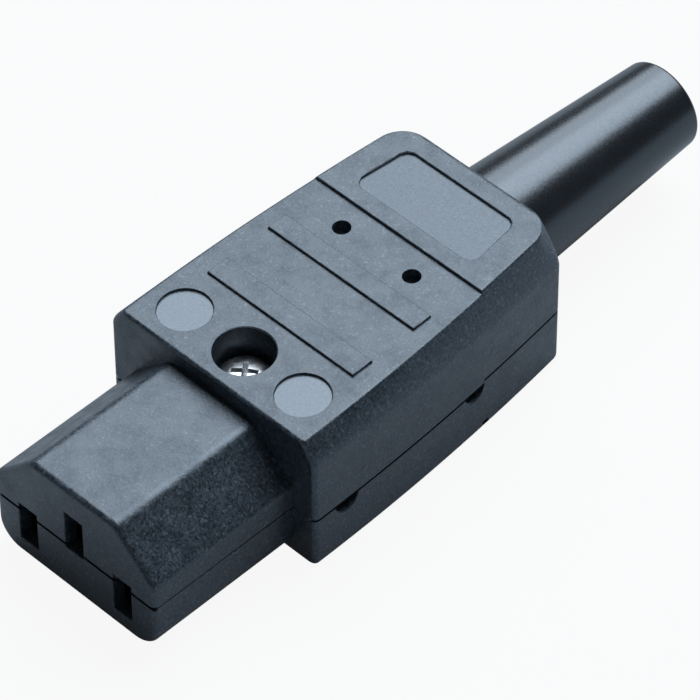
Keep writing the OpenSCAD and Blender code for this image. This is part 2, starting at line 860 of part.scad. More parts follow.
upper_shell();
lower_shell();
housing_screw();
housing_nut();
line_contact(1);  // live_contact
line_contact(-1);  // neutral_contact
earth_contact();
contact_clip(pin_pitch / 2, line_pin_z, 180);  // live_contact_clip
contact_clip(-pin_pitch / 2, line_pin_z, 180);  // neutral_contact_clip
contact_clip(0, earth_pin_z, 0);  // earth_contact_clip
terminal_screw(terminal_pitch / 2, line_screw_y, line_tab_z + strip_t);  // live_terminal_screw
terminal_screw(-terminal_pitch / 2, line_screw_y, line_tab_z + strip_t);  // neutral_terminal_screw
terminal_screw(0, earth_screw_y, earth_tab_z + strip_t);  // earth_terminal_screw
washer(terminal_pitch / 2, line_screw_y, line_tab_z + strip_t);  // live_washer
washer(-terminal_pitch / 2, line_screw_y, line_tab_z + strip_t);  // neutral_washer
washer(0, earth_screw_y, earth_tab_z + strip_t);  // earth_washer
cord_clamp();
clamp_screw(-1);  // clamp_screw_left
clamp_screw(1);  // clamp_screw_right
sleeve();
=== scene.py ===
"""Looks of a rewireable C13 connector: moulded shells, screw, sleeve and contacts."""

import logging
import math
from dataclasses import dataclass, field
from enum import Enum
from typing import Any

import bmesh
import bpy
import numpy as np
from mathutils import Matrix, Quaternion, Vector


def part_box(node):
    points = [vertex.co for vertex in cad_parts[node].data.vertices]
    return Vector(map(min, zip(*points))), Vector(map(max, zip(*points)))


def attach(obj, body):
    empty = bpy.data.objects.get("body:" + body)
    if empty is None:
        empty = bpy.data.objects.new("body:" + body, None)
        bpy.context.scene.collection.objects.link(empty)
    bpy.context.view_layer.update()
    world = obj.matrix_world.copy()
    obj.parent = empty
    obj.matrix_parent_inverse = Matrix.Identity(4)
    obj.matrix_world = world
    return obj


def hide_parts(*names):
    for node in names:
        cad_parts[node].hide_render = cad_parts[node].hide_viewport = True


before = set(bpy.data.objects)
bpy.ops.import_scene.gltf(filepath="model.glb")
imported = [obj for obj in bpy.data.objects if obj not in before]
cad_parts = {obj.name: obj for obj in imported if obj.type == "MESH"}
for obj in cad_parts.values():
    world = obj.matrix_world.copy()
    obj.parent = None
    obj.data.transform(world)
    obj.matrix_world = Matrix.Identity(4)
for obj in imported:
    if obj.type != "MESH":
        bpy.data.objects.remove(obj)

Mesh = bpy.types.Mesh
Tree = bpy.types.NodeTree
Socket = bpy.types.NodeSocket
Points = np.ndarray
Place = tuple[float, float, float]
Pair = tuple[float, float]

LOG = logging.getLogger("connector")
MM = 0.001
BODY = "root"
SMOOTH_BELOW = math.radians(32)
# Points of a skin that are closer than this are one point, in metres.
WELD = 1e-7
# Cutters reach this far past the wall that they open, in millimetres.
PAST = 1.0
# Height of a sudden change of radius in a turned profile, in millimetres.
LEDGE = 0.01
# Faint cool cast that the dark pigments leave in the reflected light.
SHEEN_COLOUR = "#e4f2ff"


class Slot(Enum):
    """Names of the record's material slots; nothing in this script uses them."""

    HOUSING = "charcoal_moulding"
    SLEEVE = "soft_sleeve"
    PLATED = "plated_steel"


class Step(Enum):
    """What one closed skin does to another."""

    JOIN = "UNION"
    CARVE = "DIFFERENCE"


class Axis(Enum):
    """Direction in which a turned or straight form runs."""

    ALONG = "y"
    UP = "z"
    ACROSS = "x"


Steps = list[tuple[Step, Points]]


def join(*skins: Points) -> Steps:
    """Steps that join closed skins on, one after another."""
    return [(Step.JOIN, skin) for skin in skins]


def carve(*skins: Points) -> Steps:
    """Steps that carve closed skins away, one after another."""
    return [(Step.CARVE, skin) for skin in skins]


# ---------------------------------------------------------------- surfaces


def stand(u: Points, v: Points, h: Points, axis: Axis) -> Points:
    """Turns section coordinates u, v and the distance h along an axis into points."""
    order = {Axis.UP: (u, v, h), Axis.ALONG: (u, h, v), Axis.ACROSS: (h, u, v)}
    return np.stack(np.broadcast_arrays(*order[axis]), axis=-1)


def turned(profile: Points, centre: Place, axis: Axis, count: int = 64) -> Points:
    """Surface of revolution: P(u, v) = centre + h(u) along the axis + r(u) at the angle v.

    Args:
        profile: Rows of distance along the axis and radius.
        centre: Point on the axis from which distances count.
        axis: Axis of the form.
        count: Points round it.

    Returns:
        Sections of points, one for each row of the profile.
    """
    angle = np.linspace(0, 2 * np.pi, count, endpoint=False)
    h, r = profile[:, :1], profile[:, 1:]
    return stand(r * np.cos(angle), r * np.sin(angle), h, axis) + np.array(centre)


def rod(centre: Place, axis: Axis, low: float, high: float, radius: float, count: int = 40) -> Points:
    """Cylinder about a centre, from low to high along an axis."""
    return turned(np.array([[low, radius], [high, radius]]), centre, axis, count)


def straight(outline: Points, low: float, high: float, axis: Axis) -> Points:
    """Straight form: P(u, v) = outline(v) carried from low to high along an axis."""
    return stand(outline[None, :, 0], outline[None, :, 1], np.array([[low], [high]]), axis)


def block(low: Place, high: Place) -> Points:
    """Rectangular block between two corners.

    Args:
        low: Lowest corner.
        high: Highest corner.

    Returns:
        Two sections of points.
    """
    x, y = np.array([low[0], high[0]]), np.array([low[1], high[1]])
    outline = np.stack([x[[0, 1, 1, 0]], y[[0, 0, 1, 1]]], axis=-1)
    return straight(outline, low[2], high[2], Axis.UP)


def quarter(radius: float, count: int) -> tuple[Points, Points]:
    """Quarter circle from a = 0 to 90 degrees, as r (1 - cos a) and r (1 - sin a)."""
    a = np.radians(np.linspace(0, 90, count))
    return radius * (1 - np.cos(a)), radius * (1 - np.sin(a))


def eased_rim(top: float, radius: float, edge: float, count: int = 5) -> Points:
    """Rows of height and radius where a hole opens out by a quarter circle up to its top."""
    out, down = quarter(edge, count)
    return np.stack([top - down, radius + out], axis=-1)


def eased_corner(before: Points, corner: Points, after: Points, reach: float, count: int) -> Points:
    """Rounds a corner by a quadratic curve (1-s)^2 A + 2 s (1-s) C + s^2 B.

    Args:
        before: Points ahead of the corner, last dimension two.
        corner: The corners.
        after: Points past the corner.
        reach: Distance from the corner to each end A and B of the curve.
        count: Number of points on the curve.

    Returns:
        Points of the curve with the count as the last dimension but one.
    """
    def along(end: Points) -> Points:
        """Point at the reach from the corner towards an end."""
        way = end - corner
        return corner + reach * way / np.linalg.norm(way, axis=-1, keepdims=True)

    s = np.linspace(0, 1, count)[:, None]
    a, b, c = along(before)[..., None, :], along(after)[..., None, :], corner[..., None, :]
    return (1 - s) ** 2 * a + 2 * s * (1 - s) * c + s**2 * b


def seam_lip(edge: Points, seam: Points, size: Pair, shares: tuple[Pair, ...]) -> tuple[Points, Points]:
    """Lip of an open seam: x = edge - depth a and z = seam + gap b, with shares a and b.

    Args:
        edge: Half width of the skin at each section.
        seam: Height of the parting line at each section.
        size: Depth of the lip and gap of the seam.
        shares: Rows of shares of the two.

    Returns:
        Both coordinates, sections by points.
    """
    inward, off = np.array(shares).T
    return edge - size[0] * inward, seam + size[1] * off


def mirrored(x: Points, y: Points, z: Points) -> Points:
    """Closes half sections along y by their mirror image across the middle plane.

    Args:
        x: Distances from the middle, sections by points.
        y: Place of each section.
        z: Heights, sections by points.

    Returns:
        Closed sections, where a point on the middle plane isn't repeated.
    """
    cut = slice(-2 if x[0, -1] == 0 else -1, 0 if x[0, 0] == 0 else None, -1)
    both_x = np.concatenate([x, -x[:, cut]], axis=1)
    both_z = np.concatenate([z, z[:, cut]], axis=1)
    return stand(both_x, both_z, y, Axis.ALONG)


def shifted(sections: Points, y: float) -> Points:
    """Moves sections along the connector."""
    return sections + np.array([0, y, 0])


def closed_mesh(name: str, sections: Points, ring: bool = False) -> Mesh:
    """Mesh of a closed skin through equal sections.

    Args:
        name: Name of the mesh.
        sections: Points in millimetres, sections by points by three.
        ring: Whether the last section joins the first; otherwise both ends are capped.

    Returns:
        The mesh in metres, its faces pointing outwards.
    """
    rows, count, _ = sections.shape
    index = np.arange(rows * count).reshape(rows, count)
    caps = [] if ring else [index[0, ::-1].tolist(), index[-1].tolist()]
    index = np.concatenate([index, index[:1]]) if ring else index
    after = np.roll(index, -1, axis=1)
    quads = np.stack([index[:-1], after[:-1], after[1:], index[1:]], axis=-1)
    mesh = bpy.data.meshes.new(name)
    mesh.from_pydata((sections.reshape(-1, 3) * MM).tolist(), [], quads.reshape(-1, 4).tolist() + caps)
    tidy = bmesh.new()
    tidy.from_mesh(mesh)
    bmesh.ops.remove_doubles(tidy, verts=tidy.verts, dist=WELD)
    bmesh.ops.recalc_face_normals(tidy, faces=tidy.faces)
    tidy.to_mesh(mesh)
    tidy.free()
    return mesh


def add_object(name: str, data: Any) -> bpy.types.Object:
    """Makes an object and links it to the scene.

    Args:
        name: Its name.
        data: Its mesh, light or camera.

    Returns:
        The object.
    """
    thing = bpy.data.objects.new(name, data)
    bpy.context.scene.collection.objects.link(thing)
    return thing


def fused(name: str, base: Points, steps: Steps) -> Mesh:
    """Joins and carves closed skins one after another.

    Args:
        name: Name of the finished mesh.
        base: Sections of the skin that is worked on.
        steps: What each further skin does, and its sections.

    Returns:
        The finished mesh.
    """
    body = add_object(name + "_base", closed_mesh(name + "_base", base))
    tools = []
    for step, sections in steps:
        tool = add_object(name + "_tool", closed_mesh(name + "_tool", sections))
        work = body.modifiers.new(step.name, "BOOLEAN")
        work.operation, work.solver, work.object = step.value, "MANIFOLD", tool
        tools.append(tool)
    bpy.context.view_layer.update()
    done = body.evaluated_get(bpy.context.evaluated_depsgraph_get())
    mesh = bpy.data.meshes.new_from_object(done)
    mesh.name = name
    for spent in [body, *tools]:
        data = spent.data
        bpy.data.objects.remove(spent)
        bpy.data.meshes.remove(data)
    return mesh


def place(mesh: Mesh, materials: list[bpy.types.Material], node: str) -> None:
    """Puts a finished mesh into the scene in place of a node of the frame.

    Args:
        mesh: The mesh, which has the name of the piece.
        materials: Its materials, in the order of the mesh's material numbers.
        node: The node that it stands for.
    """
    piece = add_object(mesh.name, mesh)
    mesh.materials.clear()
    for material in materials:
        mesh.materials.append(material)
    mesh.shade_smooth()
    mesh.set_sharp_from_angle(angle=SMOOTH_BELOW)
    even = piece.modifiers.new("even_shading", "WEIGHTED_NORMAL")
    even.keep_sharp = True
    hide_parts(node)
    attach(piece, BODY)
    LOG.info("%s: %d faces", piece.name, len(mesh.polygons))


# --------------------------------------------------------------- materials


def linear(code: str) -> tuple[float, float, float, float]:
    """Turns an sRGB hex code into linear red, green, blue and alpha.

    Args:
        code: The code, with its number sign.

    Returns:
        The four numbers.
    """
    raw = np.array([int(code[i : i + 2], 16) for i in (1, 3, 5)]) / 255
    low, high = raw / 12.92, ((raw + 0.055) / 1.055) ** 2.4
    red, green, blue = np.where(raw <= 0.04045, low, high).tolist()
    return red, green, blue, 1.0


def add_node(tree: Tree, kind: str, settings: dict[str, Any], inputs: dict[Any, Any]) -> bpy.types.Node:
    """Adds a node with its settings, its input values and its links.

    Args:
        tree: The tree that gets the node.
        kind: The node's type name.
        settings: Values of its own properties.
        inputs: A value or another node's output for each input, by name or number.

    Returns:
        The node.
    """
    node = tree.nodes.new(kind)
    for name, value in settings.items():
        setattr(node, name, value)
    for name, value in inputs.items():
        if isinstance(value, Socket):
            tree.links.new(value, node.inputs[name])
        else:
            node.inputs[name].default_value = value
    return node


def new_material(name: str) -> tuple[bpy.types.Material, Tree]:
    """Makes a material with an empty node tree.

    Args:
        name: Its name.

    Returns:
        The material and its tree.
    """
    material = bpy.data.materials.new(name)
    material.use_nodes = True
    material.node_tree.nodes.clear()
    return material, material.node_tree


def noise(tree: Tree, where: Socket, size_mm: float, detail: float, rough: float = 0.5) -> Socket:
    """Noise from 0 to 1 whose blotches are of a real size, with finer layers of a strength."""
    inputs = {"Vector": where, "Scale": 1 / (size_mm * MM), "Detail": detail, "Roughness": rough}
    return add_node(tree, "ShaderNodeTexNoise", {}, inputs).outputs["Fac"]


def spread(tree: Tree, value: Socket, span: Pair, to: Pair = (0, 1)) -> Socket:
    """Maps one span of numbers to another, held at both ends."""
    inputs = {"Value": value, "From Min": span[0], "From Max": span[1], "To Min": to[0], "To Max": to[1]}
    return add_node(tree, "ShaderNodeMapRange", {"clamp": True}, inputs).outputs["Result"]


def blend(tree: Tree, share: Socket, first: Any, second: Any) -> Socket:
    """Mixes two colours by the share of the second one."""
    inputs = {0: share, 6: first, 7: second}
    return add_node(tree, "ShaderNodeMix", {"data_type": "RGBA"}, inputs).outputs[2]


def worked(tree: Tree, operation: str, *values: Any) -> Socket:
    """One step of arithmetic on numbers and on the outputs of nodes."""
    return add_node(tree, "ShaderNodeMath", {"operation": operation}, dict(enumerate(values))).outputs[0]


def relief(tree: Tree, height: Socket, depth_mm: float, under: Socket | None = None) -> Socket:
    """Normals of a relief of a real depth.

    Args:
        tree: The tree.
        height: Height from 0 to 1.
        depth_mm: Its depth in millimetres.
        under: Normals of a relief that this one lies on.

    Returns:
        The normals.
    """
    inputs = {"Height": height, "Distance": depth_mm * MM, "Strength": 1.0}
    if under is not None:
        inputs["Normal"] = under
    return add_node(tree, "ShaderNodeBump", {}, inputs).outputs["Normal"]


@dataclass(frozen=True)
class Finish:
    """Finish of a piece: one shader whose inputs follow the place on the object."""

    name: str
    colour: str

    def inputs(self, tree: Tree, where: Socket) -> dict[str, Any]:
        """Works out the shader's inputs; each kind of finish has its own."""
        raise NotImplementedError

    def material(self) -> bpy.types.Material:
        """Builds the material.

        Returns:
            The material.
        """
        material, tree = new_material(self.name)
        where = add_node(tree, "ShaderNodeTexCoord", {}, {}).outputs["Object"]
        shader = add_node(tree, "ShaderNodeBsdfPrincipled", {}, self.inputs(tree, where))
        add_node(tree, "ShaderNodeOutputMaterial", {}, {"Surface": shader.outputs["BSDF"]})
        return material


@dataclass(frozen=True)
class MouldedPlastic(Finish):
    """Glass-filled polyamide moulded against a spark-eroded mould.

    The eroded mould leaves a fine pitted grain that scatters the light, so
    the surface is satin and grey in the light. The pits of the grain are
    painted darker, a painted shade in them. The fill gives faint cloudy
    patches and a few tiny pale specks.
    """

    cloud_colour: str
    # Painted shade: the colour that the pits of the grain are darkened to.
    pit_shade_colour: str
    speck_colour: str
    roughness: float
    rougher: float
    # The real grain is about 0.05 mm; drawn coarser so that it shows.
    grain_mm: float
    grain_depth_mm: float
    cloud_mm: float
    speck_mm: float
    speck_share: float
    specular: float
    cloud_span: Pair = (0.38, 0.62)
    pit_shade_span: Pair = (0.36, 0.6)
    speck_edge: float = 0.04
    ior: float = 1.53

    def inputs(self, tree: Tree, where: Socket) -> dict[str, Any]:
        """Works out clouds, pits and specks.

        Args:
            tree: The tree.
            where: Coordinates on the object.

        Returns:
            The shader's inputs.
        """
        clouds = spread(tree, noise(tree, where, self.cloud_mm, 5, 0.7), self.cloud_span)
        specks, rarely = noise(tree, where, self.speck_mm, 1), 1 - self.speck_share
        grain = noise(tree, where, self.grain_mm, 3, 0.65)
        base = blend(tree, clouds, linear(self.colour), linear(self.cloud_colour))
        # Painted shade: where the grain is low, in its pits, the base colour darkens.
        base = blend(tree, spread(tree, grain, self.pit_shade_span, (1, 0)), base, linear(self.pit_shade_colour))
        picked = spread(tree, specks, (rarely, rarely + self.speck_edge))
        return {
            "Base Color": blend(tree, picked, base, linear(self.speck_colour)),
            "Roughness": spread(tree, clouds, (0, 1), (self.roughness, self.rougher)),
            "IOR": self.ior, "Specular IOR Level": self.specular, "Specular Tint": linear(SHEEN_COLOUR),
            "Normal": relief(tree, grain, self.grain_depth_mm),
        }


@dataclass(frozen=True)
class SoftVinyl(Finish):
    """Flexible vinyl moulded in a polished mould.

    It is closer to black than the shells and takes a soft, even gloss along
    its length, with slight waves where the soft wall has sunk on cooling.
    """

    worn_colour: str
    roughness: float
    rougher: float
    wave_mm: float
    wave_depth_mm: float
    grain_mm: float
    grain_depth_mm: float
    specular: float
    wave_span: Pair = (0.35, 0.65)
    grain_span: Pair = (0.3, 0.7)
    ior: float = 1.52

    def inputs(self, tree: Tree, where: Socket) -> dict[str, Any]:
        """Works out waves and a fine grain on them.

        Args:
            tree: The tree.
            where: Coordinates on the object.

        Returns:
            The shader's inputs.
        """
        waves, grain = noise(tree, where, self.wave_mm, 2), noise(tree, where, self.grain_mm, 2)
        worn = spread(tree, waves, self.wave_span)
        return {
            "Base Color": blend(tree, worn, linear(self.colour), linear(self.worn_colour)),
            "Roughness": spread(tree, grain, self.grain_span, (self.roughness, self.rougher)),
            "IOR": self.ior, "Specular IOR Level": self.specular, "Specular Tint": linear(SHEEN_COLOUR),
            "Normal": relief(tree, grain, self.grain_depth_mm, relief(tree, waves, self.wave_depth_mm)),
        }


@dataclass(frozen=True)
class Metal(Finish):
    """Metal with a fine directional or pressed finish.

    Streaks along one direction vary the gloss, and darker patches stand for
    oxide or plating that has dulled.
    """

    dull_colour: str
    roughness: float
    dull_roughness: float
    streak_mm: Place
    patch_mm: float
    depth_mm: float
    patch_span: Pair = (0.4, 0.65)
    streak_span: Pair = (0.3, 0.7)

    def inputs(self, tree: Tree, where: Socket) -> dict[str, Any]:
        """Works out streaks and patches.

        Args:
            tree: The tree.
            where: Coordinates on the object.

        Returns:
            The shader's inputs.
        """
        scale = tuple(1 / (size * MM) for size in self.streak_mm)
        drawn = add_node(tree, "ShaderNodeMapping", {}, {"Vector": where, "Scale": scale}).outputs["Vector"]
        streaks = add_node(tree, "ShaderNodeTexNoise", {}, {"Vector": drawn, "Scale": 1.0, "Detail": 2.0})
        streaks = streaks.outputs["Fac"]
        patches = spread(tree, noise(tree, where, self.patch_mm, 3), self.patch_span)
        return {
            "Base Color": blend(tree, patches, linear(self.colour), linear(self.dull_colour)),
            "Metallic": 1.0,
            "Roughness": spread(tree, streaks, self.streak_span, (self.roughness, self.dull_roughness)),
            "Normal": relief(tree, streaks, self.depth_mm),
        }


# The pit colour of each finish is a painted shade in the pits of its grain.
ERODED_HOUSING = MouldedPlastic(
    name="spark_eroded_moulded_polyamide", colour="#38434d", cloud_colour="#44505b", pit_shade_colour="#171d22",
    speck_colour="#55606a", roughness=0.3, rougher=0.47, grain_mm=0.3,
    grain_depth_mm=0.03, cloud_mm=2.4, speck_mm=0.4, speck_share=0.36, specular=0.8,
)
# Floors of the round recesses: a smoother copy of the moulding. Its lower roughness is real, and its lighter
# base colour is a painted sheen.
POLISHED_SHEEN_HOUSING = MouldedPlastic(
    name="polished_recess_polyamide_painted_sheen", colour="#5a656f", cloud_colour="#616c76", pit_shade_colour="#4d5760",
    speck_colour="#6f7a84", roughness=0.3, rougher=0.34, grain_mm=0.3,
    grain_depth_mm=0.008, cloud_mm=1.6, speck_mm=0.3, speck_share=0.3, specular=1.0,
)
FINE_HOUSING = MouldedPlastic(
    name="fine_blasted_recess_polyamide", colour="#49545e", cloud_colour="#535e68", pit_shade_colour="#323a42",
    speck_colour="#66717b", roughness=0.32, rougher=0.38, grain_mm=0.26,
    grain_depth_mm=0.018, cloud_mm=1.5, speck_mm=0.3, speck_share=0.3, specular=0.85,
)
SLEEVE_VINYL = SoftVinyl(
    name="flexible_moulded_vinyl", colour="#12151a", worn_colour="#171b20", roughness=0.25, rougher=0.31,
    wave_mm=5.0, wave_depth_mm=0.03, grain_mm=0.35, grain_depth_mm=0.008, specular=1.0,
)
ZINC_PLATE = Metal(
    name="zinc_plated_steel", colour="#d3d7da", dull_colour="#a9aeb2", roughness=0.26,
    dull_roughness=0.42, streak_mm=(0.6, 0.6, 0.6), patch_mm=1.2, depth_mm=0.004,
)
SPRING_STRIP = Metal(
    name="rolled_spring_steel", colour="#8f949a", dull_colour="#6f747a", roughness=0.3,
    dull_roughness=0.45, streak_mm=(0.2, 3.0, 0.2), patch_mm=1.6, depth_mm=0.003,
)
BRASS_STRIP = Metal(
    name="rolled_brass", colour="#d6b25e", dull_colour="#a98a45", roughness=0.26,
    dull_roughness=0.4, streak_mm=(0.15, 2.5, 0.15), patch_mm=1.8, depth_mm=0.003,
)


# ------------------------------------------------------------------ shells


@dataclass(frozen=True)
class Layout:
    """Places taken from the frame's own boxes, in millimetres."""

    face_y: float
    rear_y: float
    screw_y: float
    screw_top_z: float
    sleeve_z: float
    clamp_y: float

    @staticmethod
    def read() -> "Layout":
        """Reads the boxes of the nodes.

        Returns:
            The layout.
        """
        def side(node: str, end: int, axis: int) -> float:
            """One number of a node's box in millimetres."""
            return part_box(node)[end][axis] / MM

        def middle(node: str, axis: int) -> float:
            """Middle of a node's box along an axis."""
            return (side(node, 0, axis) + side(node, 1, axis)) / 2

        return Layout(
            face_y=side("upper_shell", 0, 1),
            rear_y=side("upper_shell", 1, 1),
            screw_y=middle("housing_screw", 1),
            screw_top_z=side("housing_screw", 1, 2),
            sleeve_z=middle("sleeve", 2),
            clamp_y=middle("cord_clamp", 1),
        )


# Distance past the cover's step and share of its height: an eased foot and top.
STEP_AWAY = np.array([-0.02, 0.0, 0.02, 0.04, 0.07, 0.1, 0.15, 0.2])
STEP_SHARE = np.array([0.0, 0.04, 0.42, 0.7, 0.87, 0.95, 0.99, 1.0])
# Shares of the way from the middle plane to the edge of a flat face.
FLAT = np.array([0.0, 0.5, 0.96])


@dataclass(frozen=True)
class HousingForm:
    """Outer form of the housing and its parting line, in millimetres."""

    length: float = 40.0
    front_w: float = 30.1
    rear_w: float = 24.8
    bow: float = 0.65
    front_h: float = 17.9
    rear_h: float = 18.9
    rear_corner_r: float = 1.1
    rear_top_r: float = 3.2
    shoulder_front_z: float = 15.2
    shoulder_rear_z: float = 14.3
    shoulder_front_in: float = 1.75
    shoulder_rear_in: float = 1.3
    shoulder_power: float = 1.4
    shoulder_end: float = 0.95
    top_edge: float = 0.22
    bottom_edge_r: float = 0.8
    front_edge: float = 0.4
    rear_edge: float = 0.3
    rear_edge_power: float = 12
    step_y: float = 27.6
    step_h: float = 0.35
    seam_z: float = 7.0
    seam_rise: float = 0.5
    seam_jog_y: float = 26.45
    jog_half: float = 0.006
    seam_lip: float = 0.6
    seam_open: float = 0.16
    upper_lip: tuple[Pair, ...] = ((1.0, 0.0), (1.0, 0.6), (0.5, 0.75), (0.1, 0.85), (0.0, 1.0))
    lower_lip: tuple[Pair, ...] = ((0.0, -1.0), (0.25, -2.0), (0.6, -2.0), (1.0, -0.6), (1.0, 0.0))
    rim_side: float = 0.65
    body_start: float = 1.2
    body_spacing: float = 0.3

    def side_half(self, y: Points) -> Points:
        """Half width at a distance from the front: a taper with a parabolic bow."""
        t = y / self.length
        return (self.front_w + (self.rear_w - self.front_w) * t) / 2 + 4 * self.bow * t * (1 - t)

    def plain_z(self, y: Points) -> Points:
        """Height of the cover's slope without the raised field."""
        return self.front_h + (self.rear_h - self.front_h) * y / self.length

    def cover_z(self, y: Points) -> Points:
        """Height of the cover: its slope, plus the step with its eased top and foot."""
        return self.plain_z(y) + self.step_h * np.interp(y - self.step_y, STEP_AWAY, STEP_SHARE)

    def parting_z(self, y: Points) -> Points:
        """Height of the parting line, which rises by a step behind the jog."""
        return self.seam_z + self.seam_rise * (y > self.seam_jog_y)

    @staticmethod
    def corner_in(radius: float, back: Points) -> Points:
        """Draw-in of a rear corner: r - sqrt(r^2 - (r - back)^2) within its radius."""
        inside = np.clip(radius - back, 0, radius)
        return radius - np.sqrt(radius**2 - inside**2)

    def stations(self) -> tuple[Points, Points, Points, Points]:
        """Distances from the front with the draw-in and drop of each section.

        The front rim is a quarter circle, with a larger radius at the sides
        than over the top. The rear corners are quarter circles in plan,
        small at the sides and large at the top edge: back = r (1 - sin b).

        Returns:
            Distance, draw-in, drop and the top edge's further draw-in.
        """
        rim_y, rim_in = quarter(self.rim_side, 13)
        rim_drop = self.corner_in(self.front_edge, rim_y)
        jog = self.seam_jog_y + np.array([-self.jog_half, self.jog_half])
        near = np.concatenate([self.step_y + STEP_AWAY, jog])
        body = np.linspace(self.body_start, self.length - self.rear_top_r, 24)
        body = body[np.min(np.abs(body[:, None] - near), axis=1) > self.body_spacing]
        mid_y = np.sort(np.concatenate([body, near]))
        # Degrees round the rear corner, closer where its top edge turns down.
        b = np.radians(np.concatenate([np.linspace(5, 60, 12), np.linspace(63, 90, 10)]))
        back = self.rear_top_r * (1 - np.sin(b))
        side_in = self.corner_in(self.rear_corner_r, back)
        top_in = self.corner_in(self.rear_top_r, back) - side_in
        drop = self.rear_edge * np.sin(b) ** self.rear_edge_power
        flat, none = np.zeros_like(mid_y), np.zeros_like(rim_y)
        return (
            np.concatenate([rim_y, mid_y, self.length - back])[:, None],
            np.concatenate([rim_in, flat, side_in])[:, None],
            np.concatenate([rim_drop, flat, drop])[:, None],
            np.concatenate([none, flat, top_in])[:, None],
        )

    def upper(self) -> Points:
        """Skin of the cover's outside, closed flat along the parting line.

        The side is straight, the shoulder is x = half - inset s^p and runs
        on over the side of the raised field, and a small quadratic curve
        eases it into the flat top.

        Returns:
            Sections of points.
        """
        y, draw, drop, top_in = self.stations()
        t = y / self.length
        half = self.side_half(y) - draw
        low = self.shoulder_front_z + (self.shoulder_rear_z - self.shoulder_front_z) * t - drop
        inset = self.shoulder_front_in + (self.shoulder_rear_in - self.shoulder_front_in) * t + top_in
        top = self.cover_z(y) - drop
        rise = self.plain_z(y) - drop - low
        lip_x, lip_z = seam_lip(half, self.parting_z(y), (self.seam_lip, self.seam_open), self.upper_lip)
        s = np.linspace(0, self.shoulder_end, 16) * (top - low) / rise
        shoulder_x = half - inset * s**self.shoulder_power
        shoulder_z = low + rise * s
        edge_x = half - inset * ((top - low) / rise) ** self.shoulder_power
        corner = np.concatenate([edge_x, top], axis=1)
        before = np.stack([shoulder_x[:, -1], shoulder_z[:, -1]], axis=-1)
        edge = eased_corner(before, corner, corner - np.array([1.0, 0.0]), self.top_edge, 5)
        flat_x = edge_x * FLAT[::-1]
        x = np.concatenate([lip_x, shoulder_x, edge[..., 0], flat_x], axis=1)
        z = np.concatenate([lip_z, shoulder_z, edge[..., 1], top + 0 * flat_x], axis=1)
        return mirrored(x, y, z)

    def lower(self) -> Points:
        """Skin of the base's outside, closed flat along the parting line.

        The side is straight and its foot is a quarter circle:
        x = half - r (1 - cos a) and z = drop + r (1 + sin a).

        Returns:
            Sections of points.
        """
        y, draw, drop, _ = self.stations()
        half, seam = self.side_half(y) - draw, self.parting_z(y)
        foot = np.radians(np.linspace(-90, 0, 8))
        foot_x = half - self.bottom_edge_r * (1 - np.cos(foot))
        foot_z = drop + self.bottom_edge_r * (1 + np.sin(foot))
        lip_x, lip_z = seam_lip(half, seam, (self.seam_lip, self.seam_open), self.lower_lip)
        under_x = (half - self.bottom_edge_r) * FLAT
        x = np.concatenate([under_x, foot_x, lip_x, 0 * half], axis=1)
        z = np.concatenate([drop + 0 * under_x, foot_z, lip_z, seam], axis=1)
        return mirrored(x, y, z)


@dataclass(frozen=True)
class NoseForm:
    """Outer form of the mating nose, in millimetres."""

    width: float = 23.6
    height: float = 15.4
    length: float = 19.9
    lift: float = 0.2
    chamfer: float = 5.6
    corner_r: float = 3.2
    rim: float = 0.7
    low_edge: float = 0.5
    top_edge: float = 0.75
    seam_z: float = 7.0
    seam_lip: float = 0.35
    seam_open: float = 0.09
    upper_lip: tuple[Pair, ...] = ((1.0, 0.0), (1.0, 0.5), (0.5, 0.7), (0.0, 1.1))
    lower_lip: tuple[Pair, ...] = ((0.0, -1.1), (0.5, -0.7), (1.0, -0.5), (1.0, 0.0))
    body_start: float = 2.0
    into_housing: float = 0.4

    def stations(self) -> tuple[Points, Points]:
        """Distances from the mating face and the draw-in of each section.

        Returns:
            The two columns.
        """
        rim_y, rim_in = quarter(self.rim, 10)
        body = np.linspace(self.body_start, self.length + self.into_housing, 8)
        return np.concatenate([rim_y, body])[:, None], np.concatenate([rim_in, 0 * body])[:, None]

    def upper(self) -> Points:
        """Skin of the upper half: a straight side and a chamfer, both its corners eased.

        Returns:
            Sections of points.
        """
        y, draw = self.stations()
        half, top, seam = self.width / 2 - draw, self.lift + self.height, self.seam_z + 0 * draw
        slant = draw * (math.sqrt(2) - 1)
        lip_x, lip_z = seam_lip(half, seam, (self.seam_lip, self.seam_open), self.upper_lip)
        side = np.concatenate([half, seam], axis=1)
        first = np.concatenate([half, top - self.chamfer - slant], axis=1)
        second = np.concatenate([self.width / 2 - self.chamfer - slant, top - draw], axis=1)
        middle = np.concatenate([0 * draw, top - draw], axis=1)
        lower_edge = eased_corner(side, first, second, self.low_edge, 8)
        upper_edge = eased_corner(first, second, middle, self.top_edge, 8)
        x = np.concatenate([lip_x, lower_edge[..., 0], upper_edge[..., 0], 0 * draw], axis=1)
        z = np.concatenate([lip_z, lower_edge[..., 1], upper_edge[..., 1], top - draw], axis=1)
        return mirrored(x, y, z)

    def lower(self) -> Points:
        """Skin of the lower half: its corner is a circle r about (half - r, r).

        Returns:
            Sections of points.
        """
        y, draw = self.stations()
        half, seam = self.width / 2, self.seam_z + 0 * draw
        a = np.radians(np.linspace(-90, 0, 12))
        round_x = half - self.corner_r + (self.corner_r - draw) * np.cos(a)
        round_z = self.lift + self.corner_r + (self.corner_r - draw) * np.sin(a)
        lip_x, lip_z = seam_lip(half - draw, seam, (self.seam_lip, self.seam_open), self.lower_lip)
        x = np.concatenate([0 * draw, round_x, lip_x, 0 * draw], axis=1)
        z = np.concatenate([self.lift + draw, round_z, lip_z, seam], axis=1)
        return mirrored(x, y, z)


